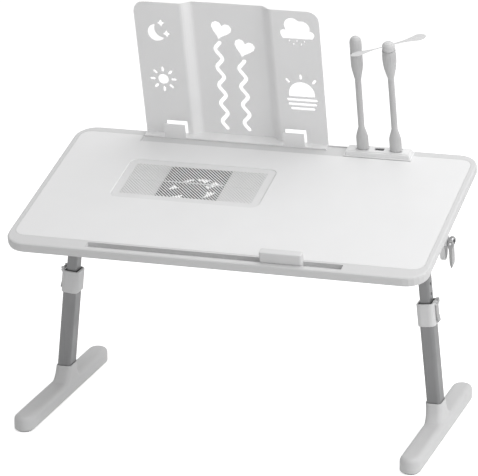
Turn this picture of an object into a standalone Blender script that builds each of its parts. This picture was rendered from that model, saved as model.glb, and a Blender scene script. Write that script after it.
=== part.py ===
"""Laptop bed table: a tilting top on two folding, telescopic legs, with a bookstand and two plug-in USB sticks.

Metres, +Z up. The origin is on the floor under the middle of the object. The top's pieces are laid out in the
top's own axes: u to the right, v to the rear, w out of its surface, with w = 0 on the desk surface. A leg's
pieces are laid out in the leg's axes: x outwards, y to the rear, z up along the sloping tube from the floor.
"""

import math

import bmesh
import bpy
from mathutils import Matrix, Vector

# Driving dimensions of the whole object.
TOP_LENGTH = 0.600
TOP_DEPTH = 0.330
TOP_THICKNESS = 0.0143
TOP_CORNER = 0.030
TOP_TILT = math.radians(14.86)
TOP_HEIGHT = 0.3211
TOP_PLACE = -0.0045
LEG_SPREAD = 0.2796
LEG_SPLAY = math.radians(5.69)
LEG_PLACE = 0.0090
PIVOT_HEIGHT = 0.281
FOOT_FRONT = 0.1705
FOOT_REAR = 0.1532

# Clearances between pieces.
GAP = 0.0003
OVERRUN = 0.002

# Sides of the polygons that stand for round shapes.
ROUND_SIDES = 24
SMALL_SIDES = 12
CORNER_STEPS = 4

# Top frame.
EDGE_TOP_ROUND = 0.0026
EDGE_BOTTOM_ROUND = 0.0034
PANEL_SIDE_RIM = 0.008
PANEL_FRONT_RIM = 0.024
PANEL_REAR_RIM = 0.014
PANEL_CORNER = 0.016
PANEL_THICKNESS = 0.0027
COVER_THICKNESS = 0.0022
COVER_SIDE_RIM = 0.010
COVER_END_RIM = 0.005
COVER_CORNER = 0.022
CAVITY_LENGTH = 0.430
CAVITY_FRONT = 0.133
CAVITY_REAR = 0.123

# Rear shelf with the bookstand's trough and the USB hub.
SHELF_FRONT = 0.1345
SHELF_LEFT = 0.198
SHELF_RIGHT = 0.2045
TROUGH_DEPTH = 0.0015
TROUGH_RIGHT = 0.1075
TROUGH_REAR = 0.161
TONGUE_OFFSET = 0.100
TONGUE_LENGTH = 0.018
TONGUE_DEPTH = 0.006

# Front slot and the stop that slides in it.
SLOT_LENGTH = 0.3630
SLOT_MIDDLE = 0.0025
SLOT_CENTRE = 0.1510
SLOT_WIDTH = 0.0120
SLOT_DEPTH = 0.0068
SLOT_FLOOR = 0.0020
SLIT_WIDTH = 0.0044
STOP_PLACE = 0.0999
STOP_LENGTH = 0.0600
STOP_DEPTH = 0.0130
STOP_HEIGHT = 0.0158
STOP_ROUND = 0.0014
STOP_FOOT_LENGTH = 0.0580
CLIP_LENGTH = 0.0400
CLIP_WIDTH = 0.0105
CLIP_THICKNESS = 0.0018

# Vent grille and the cooling fan under it.
VENT_X = -0.0835
VENT_Y = 0.0312
VENT_LENGTH = 0.2200
VENT_DEPTH = 0.1065
VENT_CORNER = 0.012
VENT_DROP = 0.0010
VENT_THICKNESS = 0.0016
VENT_MARGIN = 0.0125
VENT_BAR = 0.0020
SLIT_PITCH = 0.0052
SLIT_SIZE = 0.0025
FAN_SIDE = 0.0900
FAN_CORNER = 0.006
FAN_DEPTH = 0.0150
FAN_BORE = 0.0420
FAN_HUB = 0.0165
FAN_FLOOR = 0.0022
SPIDER_ARM = 0.006
IMPELLER_RADIUS = 0.0395
IMPELLER_HEIGHT = 0.0090
BLADE_COUNT = 7
BLADE_THICKNESS = 0.0016
BLADE_PITCH = math.radians(38)
GUARD_THICKNESS = 0.0014
GUARD_BAR = 0.0022
GUARD_RING_SHARES = (0.36, 0.68, 1.0)

# USB hub.
HUB_LEFT = 0.1085
HUB_RIGHT = 0.2030
HUB_FRONT = 0.1378
HUB_REAR = 0.1608
HUB_HEIGHT = 0.0060
HUB_WALL = 0.0018
HUB_SLOPE = 0.0016
PORT_PLACE = 0.1503
PORT_MIDDLE = 0.1563
PORT_PITCH = 0.02415
PORT_LENGTH = 0.0134
PORT_WIDTH = 0.0062
PORT_WALL = 0.0005
PORT_DEPTH = 0.0120
HUB_POCKET_MARGIN = 0.006
BOARD_THICKNESS = 0.0014
INLET_PLACE = 0.1880
INLET_LENGTH = 0.0078
INLET_HEIGHT = 0.0030
INLET_DEPTH = 0.0056

# Bookstand.
STAND_CENTRE = -0.0595
STAND_LENGTH = 0.2740
STAND_TOP = 0.2125
STAND_CORNER = 0.016
SHEET = 0.0020
LEDGE_FRONT = 0.1504
WING_FACE = 0.1623
MIDDLE_SET_BACK = 0.0090
MIDDLE_LENGTH = 0.1020
RAMP_LENGTH = 0.0170
RAMP_STEPS = 6
TAB_OFFSET = 0.0895
TAB_LENGTH = 0.0315
TAB_TOP = 0.0215

# Cut-outs in the bookstand: places are measured from its middle and from the desk surface.
MOON_X = -0.1055
MOON_Z = 0.1640
MOON_RADIUS = 0.0135
MOON_BITE = 0.01446
MOON_BITE_X = 0.0113
MOON_BITE_Z = 0.0065
STAR_PLACES = ((-0.0979, 0.1796), (-0.0908, 0.1627))
STAR_RADIUS = 0.0062
STAR_WAIST_SHARE = 0.48
SUN_X = -0.1030
SUN_Z = 0.0890
SUN_RADIUS = 0.0080
SUN_RAYS = 8
RAY_INNER = 0.0114
RAY_OUTER = 0.0204
RAY_WIDTH = 0.0038
HEART_PLACES = ((-0.0123, 0.1702), (0.0202, 0.1435))
HEART_SIZE = 0.0155
HEART_TURN = math.radians(-17)
STRING_PLACES = ((-0.0185, 0.1494), (0.0145, 0.1220))
STRING_FOOT = 0.0100
STRING_TURN = 0.0210
STRING_PITCH = 0.02955
STRING_RISE_SHARE = 0.46
STRING_BEND_SHARE = 0.80
STRING_SWING = 0.0046
STRING_WIDTH = 0.0058
CLOUD_X = 0.1033
CLOUD_Z = 0.1688
CLOUD_LENGTH = 0.0480
CLOUD_HEIGHT = 0.0325
CLOUD_SHARES = ((-0.39, 0.26, 0.175), (-0.13, 0.64, 0.355), (0.165, 0.50, 0.357), (0.415, 0.20, 0.175))
DROP_PLACES = ((-0.0115, 0.0040), (-0.0005, 0.0040), (0.0105, 0.0040), (-0.0055, 0.0088), (0.0055, 0.0088))
DROP_LENGTH = 0.0038
DROP_WIDTH = 0.0020
DUSK_X = 0.1035
DUSK_Z = 0.0760
DUSK_RADIUS = 0.0190
DUSK_RISE = 0.0045
DUSK_RAYS = (math.radians(52), math.radians(90), math.radians(128))
DUSK_RAY_INNER = 0.0270
DUSK_RAY_OUTER = 0.0362
BAR_LENGTHS = (0.0468, 0.0435, 0.0370)
BAR_PITCH = 0.0071
BAR_WIDTH = 0.0042

# The two plug-in sticks, from the hub's top up.
STICK_BASE_WIDTH = 0.0181
STICK_BASE_DEPTH = 0.0110
STICK_NECK_WIDTH = 0.0092
STICK_NECK_DEPTH = 0.0074
STICK_BASE_END = 0.0190
STICK_NECK_START = 0.0355
PLUG_LENGTH = 0.0108
PLUG_WALL = 0.0005
LAMP_NECK_END = 0.1089
LAMP_HEAD_START = 0.1308
LAMP_COVER_START = 0.1482
LAMP_TOP = 0.1728
LAMP_RADIUS = 0.0086
LAMP_LEAN_BACK = 0.0146
LAMP_LEAN_SIDE = -0.0042
LAMP_WALL = 0.0012
FAN_NECK_END = 0.1196
FAN_HEAD_START = 0.1450
FAN_HEAD_TOP = 0.1666
FAN_TOP = 0.1788
FAN_RADIUS = 0.0094
FAN_LEAN_BACK = -0.0096
FAN_LEAN_SIDE = 0.0018
MOTOR_RADIUS = 0.0068
MOTOR_LENGTH = 0.0150
SHAFT_RADIUS = 0.0011
SHAFT_LENGTH = 0.0050
PROPELLER_REACH = 0.0553
PROPELLER_ROOT = 0.0070
PROPELLER_TURN = math.radians(35.5)
PROPELLER_PITCH = math.radians(7)
PADDLE_WIDTH = 0.0140
PADDLE_THICKNESS = 0.0012
STICK_SIDES = 16

# Folding bracket under each end of the top.
BASE_INNER = 0.2395
BASE_OUTER = 0.2900
BASE_WIDTH = 0.0620
BASE_THICKNESS = 0.0030
FOLD_X = 0.2430
FOLD_DROP = 0.0250
FOLD_PIN_RADIUS = 0.0030
BARREL_RADIUS = 0.0052
LUG_LENGTH = 0.0060
YOKE_WIDTH = 0.0470
YOKE_PLATE = 0.0044
CHEEK_INNER = 0.2363
CHEEK_THICKNESS = 0.0062
CHEEK_WIDTH = 0.0240
EAR_THICKNESS = 0.0060
EAR_OUTER = 0.2858
EAR_WIDTH = 0.0220
EAR_DROP = 0.0186
BOSS_RADIUS = 0.0078
BOSS_HEIGHT = 0.0035
SCREW_HEAD = 0.0042
SCREW_HEAD_HEIGHT = 0.0022
SCREW_SHANK = 0.0017
SCREW_X = 0.2700

# Tilt joint.
BOLT_RADIUS = 0.0040
NUT_RADIUS = 0.0066
NUT_HEIGHT = 0.0030
NUT_PROUD = 0.0008
EYE_WIDTH = 0.0060
CAM_PIN_X = 0.2944
CAM_PIN_RADIUS = 0.0018
LEVER_WIDTH = 0.0150
LEVER_LENGTH = 0.0400
LEVER_SHARES = (
    (-0.110, 0),
    (-0.095, 0.055),
    (-0.055, 0.095),
    (0, 0.110),
    (0.055, 0.095),
    (0.095, 0.055),
    (0.110, 0),
    (0.105, -0.088),
    (0.075, -0.162),
    (0.050, -0.225),
    (0.042, -0.400),
    (0.040, -0.650),
    (0.038, -0.850),
    (0.022, -0.962),
    (0, -1),
    (-0.025, -0.962),
    (-0.065, -0.825),
    (-0.070, -0.650),
    (-0.065, -0.400),
    (-0.072, -0.225),
    (-0.105, -0.138),
)
HEAD_WIDTH = 0.0202
HEAD_RADIUS = 0.0115
HEAD_NECK_WIDTH = 0.0280
HEAD_NECK_TOP = 0.0020
HEAD_DROP = 0.0245
HEAD_SOCKET = 0.0090
DISC_RADIUS = 0.0165
DISC_TEETH = 18

# Telescopic leg, by distance up the sloping tube from the floor.
INNER_WIDTH = 0.0150
INNER_DEPTH = 0.0226
INNER_ROUND = 0.0030
INNER_WALL = 0.0014
INNER_FOOT = 0.1280
OUTER_WIDTH = 0.0198
OUTER_DEPTH = 0.0297
OUTER_ROUND = 0.0045
OUTER_WALL = 0.0016
OUTER_FOOT = 0.0160
COLLAR_LOW = 0.1597
COLLAR_HIGH = 0.1922
COLLAR_LIP = 0.0045
COLLAR_WIDTH = 0.0254
COLLAR_DEPTH = 0.0330
COLLAR_ROUND = 0.0070
MARK_HOLE = 0.0024
MARK_PITCH = 0.0143
MARK_COUNT = 5
CLAMP_HEIGHT = 0.1747
SHOE_WIDTH = 0.0080
SHOE_HEIGHT = 0.0100
COLLAR_PIN_HEIGHT = 0.1917
COLLAR_PIN_OUT = 0.0149
COLLAR_PIN_RADIUS = 0.0010
COLLAR_LEVER_WIDTH = 0.0130
COLLAR_LEVER_BARREL = 0.0019
COLLAR_LEVER_LENGTH = 0.0290
COLLAR_LEVER_THICKNESS = 0.0018
COLLAR_LUG = 0.0020
COLLAR_LUG_RISE = 0.0034

# Foot.
FOOT_WIDTH = 0.0294
FOOT_HEIGHT = 0.0235
FOOT_CROWN = 0.0054
SOCKET_HEIGHT = 0.0485
SOCKET_WALL = 0.0021
SOCKET_FLARE = 0.0200
PAD_THICKNESS = 0.0022
PAD_MARGIN = 0.0035
PAD_PROUD = 0.0008

# Sizes that follow from the ones above.
COS_TILT = math.cos(TOP_TILT)
SIN_TILT = math.sin(TOP_TILT)
UNDERSIDE = -TOP_THICKNESS
PIVOT_V = (LEG_PLACE - TOP_PLACE) * COS_TILT + (PIVOT_HEIGHT - TOP_HEIGHT) * SIN_TILT
PIVOT_W = (PIVOT_HEIGHT - TOP_HEIGHT) * COS_TILT - (LEG_PLACE - TOP_PLACE) * SIN_TILT
PIVOT_ALONG = PIVOT_HEIGHT / math.cos(LEG_SPLAY)
PANEL_LEFT = -TOP_LENGTH / 2 + PANEL_SIDE_RIM
PANEL_RIGHT = TOP_LENGTH / 2 - PANEL_SIDE_RIM
PANEL_FRONT = -TOP_DEPTH / 2 + PANEL_FRONT_RIM
PANEL_REAR = TOP_DEPTH / 2 - PANEL_REAR_RIM

PLASTIC_RIM = ("rim plastic", (0.72, 0.73, 0.73, 1), 0.45, 0)
BOARD_WHITE = ("desk laminate", (0.86, 0.86, 0.87, 1), 0.42, 0)
PLASTIC_WHITE = ("white plastic", (0.78, 0.79, 0.79, 1), 0.5, 0)
PLASTIC_GRILLE = ("grille plastic", (0.66, 0.67, 0.67, 1), 0.5, 0)
PLASTIC_GREY = ("grey plastic", (0.38, 0.39, 0.39, 1), 0.5, 0)
PLASTIC_DARK = ("dark plastic", (0.05, 0.05, 0.05, 1), 0.5, 0)
PLASTIC_CLEAR = ("milky cover", (0.80, 0.81, 0.82, 1), 0.35, 0)
SILICONE = ("grey silicone", (0.52, 0.53, 0.53, 1), 0.6, 0)
TUBE_METAL = ("anodised tube", (0.36, 0.38, 0.37, 1), 0.38, 0.8)
STEEL = ("steel", (0.62, 0.62, 0.63, 1), 0.3, 1)
RUBBER = ("rubber", (0.06, 0.06, 0.06, 1), 0.85, 0)
BOARD_GREEN = ("circuit board", (0.03, 0.20, 0.10, 1), 0.5, 0)


def clear_scene():
    """Empties the scene."""
    for thing in list(bpy.data.objects):
        bpy.data.objects.remove(thing, do_unlink=True)


def material(finish):
    """The material with this finish: name, colour, roughness and metallic value."""
    name, colour, roughness, metallic = finish
    found = bpy.data.materials.get(name)
    if found:
        return found
    made = bpy.data.materials.new(name)
    made.use_nodes = True
    shader = made.node_tree.nodes["Principled BSDF"]
    shader.inputs["Base Color"].default_value = colour
    shader.inputs["Roughness"].default_value = roughness
    shader.inputs["Metallic"].default_value = metallic
    made.diffuse_color = colour
    return made


def empty(name, location, parent=None, rotation=(0, 0, 0)):
    """An empty that carries the pieces laid out from it."""
    made = bpy.data.objects.new(name, None)
    bpy.context.scene.collection.objects.link(made)
    made.parent = parent
    made.location = location
    made.rotation_euler = rotation
    return made


def place(name, shape, parent, finish, side=1):
    """The shape as a named object on its parent; side -1 mirrors it across the middle of the object."""
    if side < 0:
        bmesh.ops.scale(shape, vec=(-1, 1, 1), verts=shape.verts)
    bmesh.ops.recalc_face_normals(shape, faces=shape.faces)
    mesh = bpy.data.meshes.new(name)
    shape.to_mesh(mesh)
    shape.free()
    mesh.shade_smooth()
    mesh.set_sharp_from_angle(angle=math.radians(40))
    mesh.materials.append(material(finish))
    made = bpy.data.objects.new(name, mesh)
    bpy.context.scene.collection.objects.link(made)
    made.parent = parent
    return made


def loft(rings):
    """A closed solid through rings of equal count, capped at both ends."""
    shape = bmesh.new()
    made = [[shape.verts.new(point) for point in ring] for ring in rings]
    count = len(made[0])
    for low, high in zip(made, made[1:]):
        for i in range(count):
            j = (i + 1) % count
            shape.faces.new((low[i], low[j], high[j], high[i]))
    shape.faces.new(list(reversed(made[0])))
    shape.faces.new(made[-1])
    bmesh.ops.recalc_face_normals(shape, faces=shape.faces)
    return shape


def moved(shape, matrix):
    """The shape after this matrix."""
    bmesh.ops.transform(shape, matrix=matrix, verts=shape.verts)
    return shape


def shifted(shape, x=0, y=0, z=0):
    """The shape moved by this much."""
    return moved(shape, Matrix.Translation((x, y, z)))


def box(low, high):
    """A box between two corners."""
    (x0, y0, z0), (x1, y1, z1) = low, high
    outline = ((x0, y0), (x1, y0), (x1, y1), (x0, y1))
    return prism(outline, z0, z1)


def prism(outline, low, high):
    """An outline in x and y as a solid between two heights."""
    return loft([[(x, y, z) for x, y in outline] for z in (low, high)])


def rounded_ring(width, depth, radius, x=0, y=0, steps=CORNER_STEPS):
    """The corner points of a rounded rectangle, counter-clockwise."""
    points = []
    for corner in range(4):
        start = corner * math.pi / 2
        centre_x = (width / 2 - radius) * (1 if corner in (0, 3) else -1)
        centre_y = (depth / 2 - radius) * (1 if corner in (0, 1) else -1)
        for step in range(steps + 1):
            angle = start + step / steps * math.pi / 2
            points.append((x + centre_x + radius * math.cos(angle), y + centre_y + radius * math.sin(angle)))
    return points


def slab(width, depth, radius, profile, x=0, y=0, steps=CORNER_STEPS):
    """A rounded rectangle built up through a profile of (inset, height) pairs."""
    rings = []
    for inset, height in profile:
        ring = rounded_ring(width - 2 * inset, depth - 2 * inset, max(radius - inset, GAP), x, y, steps)
        rings.append([(px, py, height) for px, py in ring])
    return loft(rings)


def circle(radius, sides=ROUND_SIDES, x=0, y=0):
    """Points round a circle."""
    turns = [2 * math.pi * i / sides for i in range(sides)]
    return [(x + radius * math.cos(a), y + radius * math.sin(a)) for a in turns]


def rod(radius, low, high, sides=ROUND_SIDES, x=0, y=0):
    """A round rod along z."""
    return prism(circle(radius, sides, x, y), low, high)


def rod_x(radius, low, high, y=0, z=0, sides=ROUND_SIDES):
    """A round rod along x."""
    outline = circle(radius, sides, y, z)
    return loft([[(x, py, pz) for py, pz in outline] for x in (low, high)])


def rod_y(radius, low, high, x=0, z=0, sides=ROUND_SIDES):
    """A round rod along y."""
    outline = circle(radius, sides, x, z)
    return loft([[(px, y, pz) for px, pz in outline] for y in (low, high)])


def plate_x(outline, low, high):
    """An outline in y and z as a plate between two places along x."""
    return loft([[(x, y, z) for y, z in outline] for x in (low, high)])


def plate_y(outline, low, high):
    """An outline in x and z as a plate between two places along y."""
    return loft([[(x, y, z) for x, z in outline] for y in (low, high)])


def combined(operation, body, tools):
    """The body after an exact Boolean with each tool in turn."""
    things = []
    for number, shape in enumerate((body, *tools)):
        mesh = bpy.data.meshes.new("scrap")
        shape.to_mesh(mesh)
        shape.free()
        thing = bpy.data.objects.new(f"scrap {number}", mesh)
        bpy.context.scene.collection.objects.link(thing)
        things.append(thing)
    target = things[0]
    for tool in things[1:]:
        modifier = target.modifiers.new(operation, "BOOLEAN")
        modifier.operation = operation
        modifier.solver = "EXACT"
        modifier.object = tool
    result = bmesh.new()
    result.from_object(target, bpy.context.evaluated_depsgraph_get())
    for thing in things:
        mesh = thing.data
        bpy.data.objects.remove(thing)
        bpy.data.meshes.remove(mesh)
    return result


def cut(body, *tools):
    """The body with the tools cut out of it."""
    return combined("DIFFERENCE", body, tools)


def joined(body, *tools):
    """The body and the tools as one solid."""
    return combined("UNION", body, tools)


def gathered(shapes):
    """Separate shapes as one cutter."""
    everything = bmesh.new()
    for shape in shapes:
        mesh = bpy.data.meshes.new("scrap")
        shape.to_mesh(mesh)
        shape.free()
        everything.from_mesh(mesh)
        bpy.data.meshes.remove(mesh)
    return everything


def shelf_cut(margin):
    """The notch that the rear shelf takes out of the panel and its pocket."""
    return box(
        (-SHELF_LEFT - margin, SHELF_FRONT - margin, -PANEL_THICKNESS - OVERRUN),
        (SHELF_RIGHT + margin, PANEL_REAR + OVERRUN, OVERRUN),
    )


def panel_slab(inset, low, high):
    """The desk panel's rounded rectangle, smaller all round by the inset."""
    return slab(
        PANEL_RIGHT - PANEL_LEFT,
        PANEL_REAR - PANEL_FRONT,
        PANEL_CORNER,
        ((inset, low), (inset, high)),
        x=(PANEL_LEFT + PANEL_RIGHT) / 2,
        y=(PANEL_FRONT + PANEL_REAR) / 2,
    )


def cover_slab(inset, low, high):
    """The underside cover's rounded rectangle, smaller all round by the inset."""
    return slab(
        TOP_LENGTH - 2 * COVER_SIDE_RIM,
        TOP_DEPTH - 2 * COVER_END_RIM,
        COVER_CORNER,
        ((inset, low), (inset, high)),
    )


def hub_pocket():
    """The well under the hub, open to the underside."""
    return box(
        (HUB_LEFT + HUB_POCKET_MARGIN, HUB_FRONT + HUB_POCKET_MARGIN, UNDERSIDE - OVERRUN),
        (HUB_RIGHT - HUB_POCKET_MARGIN, HUB_REAR - HUB_WALL, OVERRUN),
    )


def top_frame(table):
    """The moulded frame round the desk panel, with the front slot, the rear shelf and the wells beneath."""
    profile = (
        (EDGE_BOTTOM_ROUND, UNDERSIDE),
        (EDGE_BOTTOM_ROUND * 0.3, UNDERSIDE + EDGE_BOTTOM_ROUND * 0.35),
        (0, UNDERSIDE + EDGE_BOTTOM_ROUND * 1.1),
        (0, -EDGE_TOP_ROUND),
        (EDGE_TOP_ROUND * 0.3, -EDGE_TOP_ROUND * 0.3),
        (EDGE_TOP_ROUND, 0),
    )
    body = slab(TOP_LENGTH, TOP_DEPTH, TOP_CORNER, profile, steps=6)
    pocket = cut(panel_slab(0, -PANEL_THICKNESS - GAP, OVERRUN), shelf_cut(-GAP))
    cover_well = cover_slab(0, UNDERSIDE - OVERRUN, UNDERSIDE + COVER_THICKNESS + GAP)
    cavity = box(
        (-CAVITY_LENGTH / 2, -CAVITY_FRONT, UNDERSIDE - OVERRUN),
        (CAVITY_LENGTH / 2, CAVITY_REAR, OVERRUN),
    )
    slot_left = SLOT_MIDDLE - SLOT_LENGTH / 2
    slot_right = SLOT_MIDDLE + SLOT_LENGTH / 2
    slot = box(
        (slot_left, -SLOT_CENTRE - SLOT_WIDTH / 2, -SLOT_DEPTH),
        (slot_right, -SLOT_CENTRE + SLOT_WIDTH / 2, OVERRUN),
    )
    slit = box(
        (slot_left + STOP_FOOT_LENGTH / 4, -SLOT_CENTRE - SLIT_WIDTH / 2, UNDERSIDE - OVERRUN),
        (slot_right - STOP_FOOT_LENGTH / 4, -SLOT_CENTRE + SLIT_WIDTH / 2, OVERRUN),
    )
    clip_way = box(
        (slot_left, -SLOT_CENTRE - SLOT_WIDTH / 2, UNDERSIDE - OVERRUN),
        (slot_right, -SLOT_CENTRE + SLOT_WIDTH / 2, -SLOT_DEPTH - SLOT_FLOOR),
    )
    stand_left = STAND_CENTRE - STAND_LENGTH / 2 - 2 * GAP
    stand_right = STAND_CENTRE + STAND_LENGTH / 2 + 2 * GAP
    trough = joined(
        box((stand_left, SHELF_FRONT, -TROUGH_DEPTH), (TROUGH_RIGHT, TROUGH_REAR, OVERRUN)),
        box((stand_left, TROUGH_REAR - OVERRUN, -TROUGH_DEPTH), (stand_right, TOP_DEPTH / 2 + OVERRUN, OVERRUN)),
    )
    tongue_wells = [
        box(
            (
                STAND_CENTRE + side * TONGUE_OFFSET - TONGUE_LENGTH / 2 - 2 * GAP,
                WING_FACE - 2 * GAP,
                -TROUGH_DEPTH - TONGUE_DEPTH - GAP,
            ),
            (
                STAND_CENTRE + side * TONGUE_OFFSET + TONGUE_LENGTH / 2 + 2 * GAP,
                TOP_DEPTH / 2 + OVERRUN,
                OVERRUN,
            ),
        )
        for side in (-1, 1)
    ]
    inlet_way = box(
        (
            INLET_PLACE - INLET_LENGTH / 2 - GAP,
            HUB_REAR - HUB_WALL - OVERRUN,
            hub_board_top() + GAP / 2,
        ),
        (
            INLET_PLACE + INLET_LENGTH / 2 + GAP,
            TOP_DEPTH / 2 + OVERRUN,
            hub_board_top() + INLET_HEIGHT + 2 * GAP,
        ),
    )
    body = cut(body, pocket, cover_well, cavity, slot, slit, clip_way, trough)
    body = cut(body, *tongue_wells, hub_pocket(), inlet_way)
    place("top_frame", body, table, PLASTIC_RIM)


def desk_panel(table):
    """The white board let into the frame, with a chamfered opening for the vent."""
    body = panel_slab(GAP, -PANEL_THICKNESS, 0)
    wide = slab(
        VENT_LENGTH,
        VENT_DEPTH,
        VENT_CORNER,
        ((VENT_DROP, -PANEL_THICKNESS - OVERRUN), (VENT_DROP, -VENT_DROP), (0, 0), (0, OVERRUN)),
        x=VENT_X,
        y=VENT_Y,
    )
    place("desk_panel", cut(body, shelf_cut(GAP), wide), table, BOARD_WHITE)


def underside_cover(table):
    """The cover that closes the underside, open for the cooling fan."""
    body = cover_slab(GAP, UNDERSIDE, UNDERSIDE + COVER_THICKNESS)
    hole = slab(
        FAN_SIDE + 4 * GAP,
        FAN_SIDE + 4 * GAP,
        FAN_CORNER,
        ((0, UNDERSIDE - OVERRUN), (0, OVERRUN)),
        x=VENT_X,
        y=VENT_Y,
    )
    place("underside_cover", cut(body, hole), table, PLASTIC_WHITE)


def slit_outline(start, front, depth, left, right):
    """One slit of the grille, slanting at 45 degrees to the front right and held between the row's two ends."""
    points = []
    for x, y in ((start, depth), (start + depth, 0), (start + SLIT_SIZE + depth, 0), (start + SLIT_SIZE, depth)):
        held = min(max(x, left), right)
        points.append((held, front + y + x - held))
    return points


def vent_grille(table):
    """The slotted insert over the cooling fan, sunk a little below the desk surface."""
    low = -VENT_DROP - VENT_THICKNESS
    margin = VENT_DROP + GAP
    body = slab(VENT_LENGTH, VENT_DEPTH, VENT_CORNER, ((margin, low), (margin, -VENT_DROP)), x=VENT_X, y=VENT_Y)
    row_depth = (VENT_DEPTH - 2 * VENT_MARGIN - VENT_BAR) / 2
    usable = VENT_LENGTH - 2 * VENT_MARGIN
    count = int((usable + row_depth) / SLIT_PITCH)
    left = VENT_X - usable / 2
    slits = []
    for front in (VENT_Y - VENT_BAR / 2 - row_depth, VENT_Y + VENT_BAR / 2):
        for number in range(count):
            start = left - row_depth + (number + 0.5) * (usable + row_depth) / count - SLIT_SIZE / 2
            outline = slit_outline(start, front, row_depth, left, left + usable)
            slits.append(prism(outline, low - OVERRUN, OVERRUN))
    place("vent_grille", cut(body, gathered(slits)), table, PLASTIC_GRILLE)


def fan_top():
    """The height of the cooling fan's upper face."""
    return -VENT_DROP - VENT_THICKNESS - GAP


def cooling_fan_housing(table):
    """The square fan frame, with the motor cup on three arms at its foot."""
    top = fan_top()
    floor = top - FAN_DEPTH
    body = slab(FAN_SIDE, FAN_SIDE, FAN_CORNER, ((0, floor), (0, top)), x=VENT_X, y=VENT_Y)
    body = cut(body, rod(FAN_BORE, floor - OVERRUN, top + OVERRUN, x=VENT_X, y=VENT_Y))
    parts = [rod(FAN_HUB, floor, floor + FAN_FLOOR, x=VENT_X, y=VENT_Y)]
    for arm in range(3):
        bar = box((0, -SPIDER_ARM / 2, floor), (FAN_BORE + OVERRUN, SPIDER_ARM / 2, floor + FAN_FLOOR))
        moved(bar, Matrix.Rotation(2 * math.pi * arm / 3 + math.pi / 6, 4, "Z"))
        parts.append(shifted(bar, VENT_X, VENT_Y))
    place("cooling_fan_housing", joined(body, *parts), table, PLASTIC_DARK)


def cooling_impeller(axis):
    """The bladed wheel, laid out from its own axis."""
    low = fan_top() - FAN_DEPTH + FAN_FLOOR + GAP
    hub = rod(FAN_HUB, low, low + IMPELLER_HEIGHT)
    blades = []
    middle = low + IMPELLER_HEIGHT / 2
    half = IMPELLER_HEIGHT / 2 / math.cos(BLADE_PITCH) * 0.9
    for number in range(BLADE_COUNT):
        thick = BLADE_THICKNESS / 2
        blade = box((FAN_HUB - OVERRUN, -thick, -half), (IMPELLER_RADIUS, thick, half))
        moved(blade, Matrix.Rotation(BLADE_PITCH, 4, "X"))
        shifted(blade, z=middle)
        blades.append(moved(blade, Matrix.Rotation(2 * math.pi * number / BLADE_COUNT, 4, "Z")))
    place("cooling_impeller", joined(hub, *blades), axis, PLASTIC_DARK)


def cooling_fan_guard(table):
    """The finger guard under the fan: flat rings on two crossed bars."""
    high = fan_top() - FAN_DEPTH - GAP
    low = high - GUARD_THICKNESS
    outer = FAN_BORE + GUARD_BAR
    rings = []
    for share in GUARD_RING_SHARES:
        radius = outer * share
        ring = rod(radius, low, high)
        rings.append(cut(ring, rod(radius - GUARD_BAR, low - OVERRUN, high + OVERRUN)))
    bars = []
    for quarter in range(2):
        bar = box((-outer + GUARD_BAR / 2, -GUARD_BAR / 2, low), (outer - GUARD_BAR / 2, GUARD_BAR / 2, high))
        bars.append(moved(bar, Matrix.Rotation(math.pi / 4 + quarter * math.pi / 2, 4, "Z")))
    body = joined(bars[0], bars[1], *rings)
    place("cooling_fan_guard", shifted(body, VENT_X, VENT_Y), table, STEEL)


def hub_board_top():
    """The upper face of the hub's circuit board."""
    return HUB_HEIGHT - GAP - PORT_DEPTH - PORT_WALL - GAP


def port_places():
    """Where the three USB ports stand along the hub."""
    return [PORT_MIDDLE + step * PORT_PITCH for step in (-1, 0, 1)]


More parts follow.
